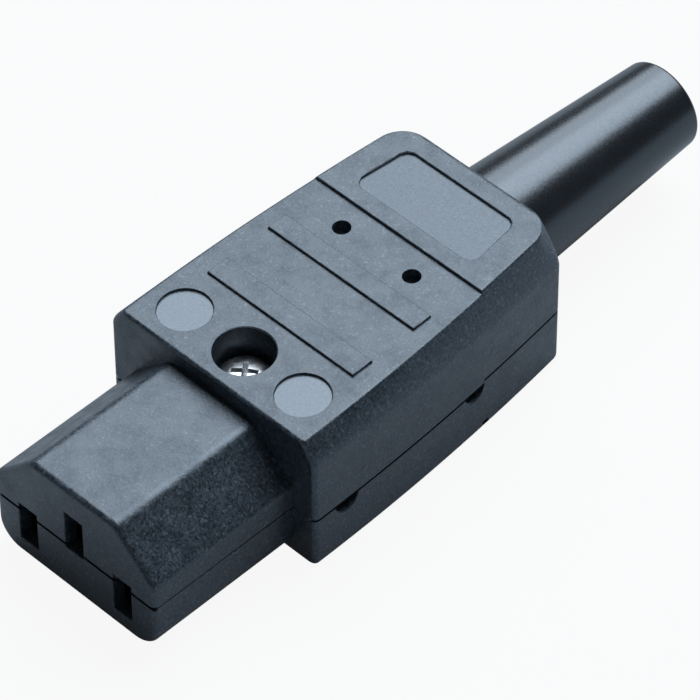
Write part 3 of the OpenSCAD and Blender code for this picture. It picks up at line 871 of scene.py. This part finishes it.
@dataclass(frozen=True)
class Chambers:
    """Slots for the pins and the rooms behind them, in millimetres."""

    pitch: float = 14.0
    line_z: float = 5.2
    earth_z: float = 9.2
    slot_w: float = 2.6
    slot_h: float = 5.2
    wall: float = 1.6
    room_half_w: float = 2.45
    room_half_h: float = 3.4
    mouth: float = 0.12
    # Distance past the face and growth of the slot there, as shares of the mouth.
    flare: tuple[Pair, ...] = ((0.0, 1.0), (0.5, 0.35), (1.5, 0.0))
    ahead: float = 0.5
    into_room: float = 0.3
    strip_way_y: float = -30.9
    strip_way_w: float = 6.5
    strip_way_z: float = 12.25

    def slots(self, face: float, deep: float) -> Steps:
        """Carves the slots, whose mouths flare at the face, and the rooms behind them.

        Args:
            face: Place of the mating face.
            deep: Rear end of the rooms.

        Returns:
            The steps.
        """
        steps = []
        back = face + self.wall
        past, share = np.array(self.flare).T
        h = np.array([face - self.ahead, *(face + past * self.mouth), back + self.into_room])[:, None]
        grow = self.mouth * np.array([1.0, *share, 0.0])[:, None]
        for x, z in ((-self.pitch / 2, self.line_z), (self.pitch / 2, self.line_z), (0.0, self.earth_z)):
            low = (x - self.room_half_w, back, z - self.room_half_h)
            high = (x + self.room_half_w, deep, z + self.room_half_h)
            u = x + np.array([-1, 1, 1, -1]) * (self.slot_w / 2 + grow)
            v = z + np.array([-1, -1, 1, 1]) * (self.slot_h / 2 + grow)
            steps += carve(block(low, high), stand(u, v, h, Axis.ALONG))
        return steps

    def strip_way(self, deep: float, seam_z: float) -> Points:
        """Way of the earth strip above the parting line."""
        return block((0, self.strip_way_y, seam_z), (self.strip_way_w, deep, self.strip_way_z))


@dataclass(frozen=True)
class Cover:
    """Raised and sunk details of the cover, in millimetres from the housing's front."""

    disc_d: float = 6.05
    disc_pitch: float = 17.4
    disc_y: float = 4.75
    recess: float = 0.3
    peg_d: float = 2.0
    peg_pitch: float = 10.3
    peg_y: float = 24.4
    peg_depth: float = 1.6
    floor_edge: float = 0.05
    pad_l: float = 21.4
    pad_h: float = 0.3
    pad_edge: float = 0.15
    pad_bond: float = 0.4
    pads: tuple[Pair, ...] = ((10.0, 2.9), (18.95, 2.65))
    field_front_w: float = 17.2
    field_rear_w: float = 16.0
    field_l: float = 7.5
    field_y: float = 29.8
    field_corner: float = 1.1
    field_soft: float = 0.35
    field_bulge: float = 0.9
    field_draft: tuple[float, ...] = (0.0, 0.003, 0.016, 0.016)
    rim: float = 0.08
    above: float = 0.5

    def hole(self, x: float, y: float, radius: float, depth: float) -> Points:
        """Round recess whose rim is eased outwards by a quarter circle.

        Args:
            x: Place across the cover.
            y: Place along the cover.
            radius: Its radius.
            depth: Its depth.

        Returns:
            Sections of points, heights counted from the cover.
        """
        ends = [[-depth, radius - self.floor_edge], [-depth + self.floor_edge, radius]]
        rim = eased_rim(0, radius, self.rim)
        rows = np.concatenate([ends, rim, [[self.above, radius + self.rim]]])
        return turned(rows, (x, y, 0), Axis.UP, 72)

    def field(self, step_h: float) -> Points:
        """Bare sunk field with cut corners, whose walls draft outwards.

        P(u, v) = ring(v) grown by a share at each height, and by twice that
        share along the cover.

        Args:
            step_h: Height of the raised part of the cover.

        Returns:
            Sections of points.
        """
        front, rear, c = self.field_front_w / 2, self.field_rear_w / 2, self.field_corner
        soft = self.field_soft * c
        bulge = soft * self.field_bulge
        half = np.array([
            [front - c, 0], [front - soft, bulge], [front, c],
            [rear, self.field_l - c], [rear - soft, self.field_l - bulge], [rear - c, self.field_l],
        ])
        ring = np.concatenate([half, half[::-1] * np.array([-1, 1])])
        h = step_h + np.array([[-self.recess], [-self.rim], [0.0], [self.above]])
        grow = 1 + np.array(self.field_draft)[:, None]
        v = self.field_y + self.field_l / 2 + (ring[:, 1] - self.field_l / 2) * (1 + (grow - 1) * 2)
        return stand(ring[:, 0] * grow, v, h, Axis.UP)

    def pad(self, y: float, width: float) -> Points:
        """Raised pad whose top edges are eased by a quarter circle.

        Args:
            y: Place of its front edge.
            width: Its size along the cover.

        Returns:
            Sections of points.
        """
        out, down = quarter(self.pad_edge, 4)
        h = np.concatenate([[-self.pad_bond], self.pad_h - down])[:, None]
        draw = np.concatenate([[0.0], out])[:, None]
        u = np.array([-1, 1, 1, -1]) * (self.pad_l / 2 - draw)
        v = y + width / 2 + np.array([-1, -1, 1, 1]) * (width / 2 - draw)
        return stand(u, v, h, Axis.UP)


@dataclass(frozen=True)
class Fittings:
    """Inside forms that carry the metal pieces and the cord, in millimetres."""

    side_wall: float = 2.0
    floor_wall: float = 2.0
    top_wall: float = 2.3
    front_wall: float = 1.5
    rear_wall: float = 2.2
    screw_hole_d: float = 3.2
    hole_over: float = 0.5
    head_h: float = 2.2
    sink_d: float = 6.8
    sink_edge: float = 0.14
    seat_wall: float = 1.8
    column_wall: float = 1.1
    boss_r: float = 3.2
    boss_room: float = 0.05
    nut_corner_d: float = 6.582
    nut_top_z: float = 3.2
    bond: float = 0.4
    neck_r: float = 5.7
    neck_edge: float = 0.12
    neck_past: float = 0.6
    flange_r: float = 7.0
    flange_room: float = 2.1
    notch_depth: float = 1.2
    notch_edge: float = 0.1
    notches: tuple[Pair, ...] = ((4.8, 1.7), (25.0, 1.5))
    nick_w: float = 0.9
    nick_z: float = 0.3
    nick_top: float = 1.15
    nick_y: float = 26.8
    post_r: float = 2.5
    post_pitch: float = 15.6
    post_hole_r: float = 1.55
    saddle_t: float = 1.4
    clamp_w: float = 5.0
    cord_r: float = 4.0
    face_seam: float = 0.2
    tight_seam: float = 0.04
    seam_depth: float = 0.45
    seam_mouth: float = 0.15
    seam_ahead: float = 0.2
    seam_over: float = 0.3
    seam_gap: float = 0.05
    seam_end: float = 0.01
    tab_w: float = 5.4
    tab_l: float = 6.0
    tip_r: float = 2.0
    # Centre of each terminal's tab behind the housing's front, and its height.
    tabs: tuple[Place, ...] = ((-8.8, 18.0, 7.4), (8.8, 18.0, 7.4), (0.0, 14.6, 11.4))


@dataclass
class Shells:
    """The two moulded shells that meet on the stepped parting line."""

    layout: Layout
    form: HousingForm = field(default_factory=HousingForm)
    nose: NoseForm = field(default_factory=NoseForm)
    chambers: Chambers = field(default_factory=Chambers)
    cover: Cover = field(default_factory=Cover)
    inside: Fittings = field(default_factory=Fittings)

    @property
    def front_y(self) -> float:
        """Place of the housing's front."""
        return self.layout.face_y + self.nose.length

    @property
    def seat_z(self) -> float:
        """Height of the seat under the housing screw's head."""
        return self.layout.screw_top_z - self.inside.head_h

    @property
    def rooms_end(self) -> float:
        """Rear end of the chambers, which open into the wiring space."""
        return self.front_y + self.inside.front_wall + PAST

    def on_cover(self, sections: Points) -> Points:
        """Turns sections by the cover's slope and sets them on it.

        Args:
            sections: Points whose height counts from the cover.

        Returns:
            The points in place.
        """
        form = self.form
        tilt = math.atan((form.rear_h - form.front_h) / form.length)
        c, s = math.cos(tilt), math.sin(tilt)
        turn = np.array([[1, 0, 0], [0, c, -s], [0, s, c]])
        return sections @ turn.T + np.array([0, self.front_y, form.front_h])

    def wiring_space(self) -> Points:
        """Room inside the walls, from the floor to the ceiling.

        Returns:
            Sections of points.
        """
        f, i = self.form, self.inside
        y = np.linspace(i.front_wall, f.length - i.rear_wall, 5)
        half = np.stack([f.side_half(y) - i.side_wall, y + self.front_y], axis=-1)
        outline = np.concatenate([half, half[::-1] * np.array([-1, 1])])
        return straight(outline, i.floor_wall, f.front_h - i.top_wall, Axis.UP)

    def seam_cuts(self, way: int) -> Steps:
        """Carves the open seam across the mating face and the housing's two ends.

        On the base's side the seam is wider inside than at its mouth, so
        that it stays dark when it is seen from above.

        Args:
            way: 1 for the cover, -1 for the base.

        Returns:
            The steps.
        """
        i, form, nose_half, half = self.inside, self.form, self.nose.width / 2, self.form.front_w / 2
        rear_z = form.seam_z + form.seam_rise
        steps = []
        for low, high, y, inward, z, gap in (
            (-nose_half, nose_half, self.layout.face_y, 1, form.seam_z, i.face_seam),
            (-half, -nose_half - i.seam_gap, self.front_y, 1, form.seam_z, form.seam_open),
            (nose_half + i.seam_gap, half, self.front_y, 1, form.seam_z, i.tight_seam),
            (-half, half, self.layout.rear_y, -1, rear_z, form.seam_open),
        ):
            out, deep, lip = (y + part * inward for part in (-i.seam_ahead, i.seam_depth, i.seam_mouth))
            room = gap if way > 0 else 2 * gap
            over, wide, narrow = z - i.seam_over * way, z + room * way, z + gap * way
            ring = [[out, over], [deep, over], [deep, wide], [lip, wide], [y, narrow], [out, narrow]]
            steps += carve(straight(np.array(ring), low - i.seam_end, high + i.seam_end, Axis.ACROSS))
        return steps

    def rear_hole(self) -> Steps:
        """Carves the hole in the rear wall and the room for the sleeve's flange.

        Returns:
            The steps.
        """
        i, centre = self.inside, (0, self.layout.rear_y, self.layout.sleeve_z)
        rim = eased_rim(0, i.neck_r, i.neck_edge, 4)
        ahead, past = [-i.rear_wall - PAST, i.neck_r], [i.neck_past, i.neck_r + i.neck_edge]
        hole = turned(np.concatenate([[ahead], rim, [past]]), centre, Axis.ALONG)
        room = rod(centre, Axis.ALONG, -i.rear_wall - i.flange_room, -i.rear_wall, i.flange_r, 64)
        return carve(hole, room)

    def screw_hole(self) -> Steps:
        """Carves the screw's hole and the wide part over its head, with an eased rim.

        Returns:
            The steps.
        """
        i, y, radius = self.inside, self.layout.screw_y, self.inside.sink_d / 2
        top = float(self.form.cover_z(np.array(y - self.front_y)))
        rim = eased_rim(top, radius, i.sink_edge)
        rows = np.concatenate([[[self.seat_z, radius]], rim, [[top + PAST, radius + i.sink_edge]]])
        thread = rod((0, y, 0), Axis.UP, -PAST, self.seat_z + i.hole_over, i.screw_hole_d / 2)
        return carve(thread, turned(rows, (0, y, 0), Axis.UP, 80))

    def upper_mesh(self) -> Mesh:
        """Builds the cover with the upper half of the nose.

        Returns:
            The mesh.
        """
        c, i, lay = self.cover, self.inside, self.layout
        low, high = self.seat_z - i.seat_wall, self.form.front_h - i.top_wall + i.bond
        column = rod((0, lay.screw_y, 0), Axis.UP, low, high, i.sink_d / 2 + i.column_wall, 48)
        way = self.chambers.strip_way(self.rooms_end, self.form.seam_z)
        steps = join(shifted(self.nose.upper(), lay.face_y)) + carve(self.wiring_space()) + join(column)
        steps += join(*(self.on_cover(c.pad(y, width)) for y, width in c.pads))
        steps += self.chambers.slots(lay.face_y, self.rooms_end) + carve(way) + self.rear_hole()
        for side in (-1, 1):
            disc = c.hole(side * c.disc_pitch / 2, c.disc_y, c.disc_d / 2, c.recess)
            peg = c.hole(side * c.peg_pitch / 2, c.peg_y, c.peg_d / 2, c.peg_depth)
            steps += carve(self.on_cover(disc), self.on_cover(peg))
        steps += carve(self.on_cover(c.field(self.form.step_h))) + self.screw_hole() + self.seam_cuts(1)
        return fused("upper_shell_look", shifted(self.form.upper(), self.front_y), steps)

    def boss(self) -> Points:
        """Boss round the nut's pocket, narrower over the nut, up to the cover's column.

        Returns:
            Sections of points.
        """
        i = self.inside
        foot_r, step_z = i.nut_corner_d / 2 + i.seat_wall / 2, i.nut_top_z + i.seat_wall
        rows = np.array([
            [i.floor_wall - i.bond, foot_r], [step_z, foot_r],
            [step_z + LEDGE, i.boss_r], [self.seat_z - i.seat_wall - i.boss_room, i.boss_r],
        ])
        return turned(rows, (0, self.layout.screw_y, 0), Axis.UP, 48)

    def carriers(self) -> Steps:
        """Adds the clamp's posts and saddles and the blocks under the terminals' tabs.

        Returns:
            The steps, in which the cord's way and the screws' holes come last.
        """
        i, lay, floor = self.inside, self.layout, self.inside.floor_wall - self.inside.bond
        reach = i.post_pitch / 2 - i.post_r + i.bond
        steps, holes = [], []
        for side in (-1, 1):
            foot = (side * i.post_pitch / 2, lay.clamp_y, 0)
            y = lay.clamp_y + side * i.clamp_w / 2
            saddle = block((-reach, y - i.saddle_t / 2, floor), (reach, y + i.saddle_t / 2, self.form.seam_z))
            steps += join(rod(foot, Axis.UP, floor, lay.sleeve_z, i.post_r), saddle)
            holes += carve(rod(foot, Axis.UP, i.floor_wall, lay.sleeve_z + PAST, i.post_hole_r, 32))
        for x, back, top in i.tabs:
            y = back + self.front_y
            low, high = (x - i.tab_w / 2, y - i.tab_l / 2, floor), (x + i.tab_w / 2, y + i.tab_l / 2, top)
            tip = rod((x, y, 0), Axis.UP, i.floor_wall, top + PAST, i.tip_r)
            steps += join(block(low, high)) + carve(tip)
        cord = rod((0, lay.clamp_y, lay.sleeve_z), Axis.ALONG, -i.clamp_w, i.clamp_w, i.cord_r, 48)
        return steps + carve(cord) + holes

    def lower_mesh(self) -> Mesh:
        """Builds the base with the lower half of the nose and its inside forms.

        Returns:
            The mesh.
        """
        face_y = self.layout.face_y
        steps = join(shifted(self.nose.lower(), face_y)) + carve(self.wiring_space()) + join(self.boss())
        steps += self.carriers() + self.chambers.slots(face_y, self.rooms_end)
        steps += self.rear_hole() + self.screw_hole() + self.small_cuts() + self.seam_cuts(-1)
        return fused("lower_shell_look", shifted(self.form.lower(), self.front_y), steps)

    def small_cuts(self) -> Steps:
        """Carves the pry notches, the small nick and the pocket of the nut.

        Returns:
            The steps.
        """
        i, form, steps = self.inside, self.form, []
        for side in (-1, 1):
            for y, r in i.notches:
                half = float(form.side_half(np.array(y)))
                rows = np.array([
                    [side * (half - i.notch_depth), r], [side * (half - i.notch_edge), r],
                    [side * half, r + i.notch_edge], [side * (half + PAST), r + i.notch_edge],
                ])
                steps += carve(turned(rows[::side], (0, y + self.front_y, form.seam_z), Axis.ACROSS, 48))
        half, y = float(form.side_half(np.array(i.nick_y))), self.front_y + i.nick_y
        low = (half - form.bottom_edge_r, y - i.nick_w / 2, i.nick_z)
        nick = block(low, (half + PAST, y + i.nick_w / 2, i.nick_top))
        pocket = rod((0, self.layout.screw_y, 0), Axis.UP, -PAST, i.nut_top_z, i.nut_corner_d / 2, 6)
        return steps + carve(nick, pocket)

    def mark_floors(self, mesh: Mesh) -> None:
        """Gives the floors of the round recesses and of the field their own finishes.

        Args:
            mesh: The cover's mesh, with its materials in place.
        """
        c, level, near = self.cover, 0.9, 0.08
        centre, normal = np.empty(len(mesh.polygons) * 3), np.empty(len(mesh.polygons) * 3)
        mesh.polygons.foreach_get("center", centre)
        mesh.polygons.foreach_get("normal", normal)
        centre, normal = centre.reshape(-1, 3) / MM, normal.reshape(-1, 3)
        across, along = centre[:, 0], centre[:, 1] - self.front_y
        depth = self.form.cover_z(along) - centre[:, 2]
        sunk = (normal[:, 2] > level) & (np.abs(depth - c.recess) < near)
        disc = np.hypot(np.abs(across) - c.disc_pitch / 2, along - c.disc_y) < c.disc_d / 2
        beside = np.abs(across) < c.field_front_w / 2
        bare = beside & (np.abs(along - c.field_y - c.field_l / 2) < c.field_l / 2)
        number = np.where(sunk & disc, 1, np.where(sunk & bare, 2, 0))
        mesh.polygons.foreach_set("material_index", number.astype(np.int32))

    def build(self) -> None:
        """Builds both shells and dresses them."""
        eroded = ERODED_HOUSING.material()
        # The second finish carries a painted sheen on the floors of the round recesses.
        finishes = [eroded, POLISHED_SHEEN_HOUSING.material(), FINE_HOUSING.material()]
        cover = self.upper_mesh()
        place(cover, finishes, "upper_shell")
        self.mark_floors(cover)
        place(self.lower_mesh(), [eroded], "lower_shell")


# ---------------------------------------------------------- sleeve and screw


@dataclass
class CordSleeve:
    """Flexible sleeve: flange, neck in the rear wall and long taper."""

    layout: Layout
    length: float = 29.5
    root_d: float = 14.1
    tip_d: float = 10.8
    neck_d: float = 11.2
    flange_d: float = 13.8
    flange_t: float = 2.0
    rear_wall: float = 2.2
    bore_r: float = 4.2
    bore_edge: float = 0.2
    tip_r: float = 0.45
    root_r: float = 0.25

    def profile(self) -> Points:
        """Closed profile round the axis: rows of distance along it and radius.

        Returns:
            The rows, from the bore's inner end round the outside and back.
        """
        root, tip, wall = self.root_d / 2, self.tip_d / 2, -self.rear_wall
        back = wall - self.flange_t
        start = [
            [back, self.bore_r], [back, self.flange_d / 2], [wall, self.flange_d / 2],
            [wall, self.neck_d / 2], [0, self.neck_d / 2], [0, root - self.root_r],
        ]
        on, aside = quarter(self.root_r, 8)
        foot = np.stack([on, root - aside], axis=-1)
        run = np.linspace(self.root_r, self.length - self.tip_r, 24)[1:-1]
        share = (run - self.root_r) / (self.length - self.tip_r - self.root_r)
        taper = np.stack([run, root + (tip - root) * share], axis=-1)
        on, aside = quarter(self.tip_r, 8)
        end = np.stack([self.length - aside, tip - on], axis=-1)
        on, aside = quarter(self.bore_edge, 8)
        lip = np.stack([self.length - on, self.bore_r + aside], axis=-1)
        return np.concatenate([start, foot[1:], taper, end, lip[1:]])

    def build(self) -> None:
        """Builds the sleeve as a closed ring of sections and dresses it."""
        centre = (0, self.layout.rear_y, self.layout.sleeve_z)
        mesh = closed_mesh("sleeve_look", turned(self.profile(), centre, Axis.ALONG, 112), ring=True)
        place(mesh, [SLEEVE_VINYL.material()], "sleeve")


@dataclass
class HousingScrew:
    """Cross-recessed raised head screw that pulls the shells together."""

    layout: Layout
    thread_d: float = 3.0
    length: float = 11.6
    point: float = 0.4
    head_d: float = 6.0
    head_h: float = 2.2
    head_rim: float = 1.1
    head_edge: float = 0.1
    crown_power: float = 0.8
    crown_end: float = 88.0
    recess_w: float = 0.6
    recess_l: float = 3.0
    # Height from the crown's top, and share of the wings' length there.
    recess_rows: tuple[Pair, ...] = ((-1.4, 0.35), (-0.5, 0.85), (0.4, 1.1))
    turns: Pair = (38.0, 128.0)

    def head(self) -> Points:
        """Profile of the shank and the raised head: x = r cos^p a, z = rim + h sin a.

        Returns:
            Rows of height over the seat and radius.
        """
        a = np.radians(np.linspace(0, self.crown_end, 12))
        crown_r = self.head_d / 2 * np.cos(a) ** self.crown_power
        crown_h = self.head_rim + (self.head_h - self.head_rim) * np.sin(a)
        shank = [
            [-self.length, self.thread_d / 2 - self.point], [-self.length + self.point, self.thread_d / 2],
            [-LEDGE, self.thread_d / 2], [0.0, self.head_d / 2 - self.head_edge],
            [self.head_edge, self.head_d / 2],
        ]
        return np.concatenate([shank, np.stack([crown_h, crown_r], axis=-1)])

    def recess(self, turn: float) -> Points:
        """One wing pair of the cross recess: a bar that shrinks towards its floor.

        Args:
            turn: Angle of the wings in degrees.

        Returns:
            Sections of points.
        """
        height, share = (np.array(column)[:, None] for column in zip(*self.recess_rows))
        u = np.array([-1, 1, 1, -1]) * self.recess_l / 2 * share
        v = np.array([-1, -1, 1, 1]) * self.recess_w / 2 * (0.5 + 0.5 * share)
        c, s = math.cos(math.radians(turn)), math.sin(math.radians(turn))
        return stand(u * c - v * s, u * s + v * c, self.head_h + height, Axis.UP)

    def build(self) -> None:
        """Builds the screw and dresses it."""
        base = (0.0, self.layout.screw_y, self.layout.screw_top_z - self.head_h)
        wings = carve(*(self.recess(turn) + np.array(base) for turn in self.turns))
        mesh = fused("housing_screw_look", turned(self.head(), base, Axis.UP), wings)
        place(mesh, [ZINC_PLATE.material()], "housing_screw")


@dataclass
class InnerPieces:
    """Metal and plastic pieces inside the shells, which keep their own meshes."""

    finishes: tuple[tuple[Finish, tuple[str, ...]], ...] = (
        (BRASS_STRIP, ("live_contact", "neutral_contact", "earth_contact", "housing_nut")),
        (SPRING_STRIP, ("live_contact_clip", "neutral_contact_clip", "earth_contact_clip")),
        (ZINC_PLATE, (
            "live_terminal_screw", "neutral_terminal_screw", "earth_terminal_screw",
            "live_washer", "neutral_washer", "earth_washer", "clamp_screw_left", "clamp_screw_right",
        )),
        (ERODED_HOUSING, ("cord_clamp",)),
    )

    def dress(self) -> None:
        """Gives every carried-over node the finish of its kind."""
        for finish, nodes in self.finishes:
            material = finish.material()
            for name in nodes:
                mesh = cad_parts[name].data
                mesh.materials.clear()
                mesh.materials.append(material)
                LOG.info("%s keeps its form and is dressed as %s", name, finish.name)


# ------------------------------------------------------------------ studio


@dataclass(frozen=True)
class Softbox:
    """Part of the softbox: the direction in which it hangs, its width and its radiance."""

    name: str
    direction: Place
    width: float
    radiance: float


@dataclass
class Studio:
    """Camera, pale floor and one large overhead softbox, in millimetres."""

    lens: float = 281.67
    sensor: float = 36.0
    target: Place = (2.3111, -6.757, 10.0)
    distance: float = 577.19
    azimuth: float = 44.874
    elevation: float = 46.429
    roll: float = -0.3694
    # Nearest and farthest distance that the camera sees, in metres.
    sight: Pair = (0.01, 50.0)
    box_distance: float = 900.0
    box_length: float = 800.0
    box_colour: Place = (0.93, 1.0, 1.07)
    # The cloth, and its brighter core.
    boxes: tuple[Softbox, ...] = (
        Softbox("softbox", (-0.27, 0.49, 0.83), 1150.0, 3.35),
        Softbox("softbox_core", (-0.08, 0.49, 0.87), 560.0, 1.7),
    )
    sky: float = 0.07
    floor_half: float = 6000.0
    floor_drop: float = 0.02
    floor_colour: str = "#afb7be"
    seen_share: float = 0.92
    mirrored_share: float = 0.05

    def camera(self) -> None:
        """Places the camera on its bearing, turned by its small roll."""
        az, el = math.radians(self.azimuth), math.radians(self.elevation)
        away = Vector((math.cos(el) * math.sin(az), -math.cos(el) * math.cos(az), math.sin(el)))
        roll = Quaternion((0, 0, 1), math.radians(self.roll))
        lens = bpy.data.cameras.new("camera")
        lens.lens, lens.sensor_width = self.lens, self.sensor
        lens.clip_start, lens.clip_end = self.sight
        camera = add_object("camera", lens)
        camera.rotation_mode = "QUATERNION"
        camera.rotation_quaternion = away.to_track_quat("Z", "Y") @ roll
        camera.location = (Vector(self.target) + away * self.distance) * MM
        bpy.context.scene.camera = camera

    def hang(self, box: Softbox) -> None:
        """Hangs a part of the softbox; its power is radiance times pi times its area.

        Args:
            box: The part.
        """
        light = bpy.data.lights.new(box.name, "AREA")
        light.shape, light.size, light.size_y = "RECTANGLE", box.width * MM, self.box_length * MM
        light.energy = box.radiance * math.pi * light.size * light.size_y
        light.color = self.box_colour
        lamp = add_object(box.name, light)
        towards = Vector(box.direction).normalized()
        wide = Vector((0, 1, 0)).cross(towards).normalized()
        lamp.location = towards * self.box_distance * MM
        lamp.rotation_mode = "QUATERNION"
        lamp.rotation_quaternion = Matrix((wide, towards.cross(wide), towards)).transposed().to_quaternion()

    def floor(self) -> None:
        """Lays the floor: matt where it is lit, near white where it is looked at."""
        grid = np.linspace(-self.floor_half, self.floor_half, 3) * MM
        x, y = np.meshgrid(grid, grid)
        points = np.stack([x, y, np.full_like(x, -self.floor_drop * MM)], axis=-1).reshape(-1, 3)
        corner = np.array([0, 1, 3, 4])
        quads = np.stack([corner, corner + 1, corner + 4, corner + 3], axis=-1)
        mesh = bpy.data.meshes.new("floor")
        mesh.from_pydata(points.tolist(), [], quads.tolist())
        material, tree = new_material("matt_paper_sweep")
        path = add_node(tree, "ShaderNodeLightPath", {}, {}).outputs
        seen = worked(tree, "MULTIPLY", path["Is Camera Ray"], self.seen_share)
        other = worked(tree, "ADD", path["Is Glossy Ray"], path["Is Transmission Ray"])
        share = worked(tree, "MULTIPLY_ADD", other, self.mirrored_share, seen)
        matt = add_node(tree, "ShaderNodeBsdfDiffuse", {}, {"Color": linear(self.floor_colour)})
        white = add_node(tree, "ShaderNodeEmission", {}, {"Color": (1, 1, 1, 1), "Strength": 1.0})
        mixed = add_node(tree, "ShaderNodeMixShader", {}, {0: share, 1: matt.outputs[0], 2: white.outputs[0]})
        add_node(tree, "ShaderNodeOutputMaterial", {}, {"Surface": mixed.outputs[0]})
        mesh.materials.append(material)
        add_object("floor", mesh)

    def world(self) -> None:
        """Sets a dim room that is white only where it is looked at."""
        world = bpy.data.worlds.new("room")
        world.use_nodes = True
        tree = world.node_tree
        tree.nodes.clear()
        path = add_node(tree, "ShaderNodeLightPath", {}, {})
        strength = spread(tree, path.outputs["Is Camera Ray"], (0, 1), (self.sky, 1.0))
        light = add_node(tree, "ShaderNodeBackground", {}, {"Color": (1, 1, 1, 1), "Strength": strength})
        add_node(tree, "ShaderNodeOutputWorld", {}, {"Surface": light.outputs[0]})
        bpy.context.scene.world = world

    def build(self) -> None:
        """Sets up the light, the floor and the room."""
        for box in self.boxes:
            self.hang(box)
        self.floor()
        self.world()
        bpy.context.scene.view_settings.view_transform = "Standard"


def main() -> None:
    """Builds the camera, the pieces and the studio."""
    logging.basicConfig(level=logging.INFO, format="%(message)s")
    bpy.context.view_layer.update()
    studio = Studio()
    studio.camera()
    layout = Layout.read()
    Shells(layout).build()
    CordSleeve(layout).build()
    HousingScrew(layout).build()
    InnerPieces().dress()
    studio.build()


if __name__ == "__main__":
    main()
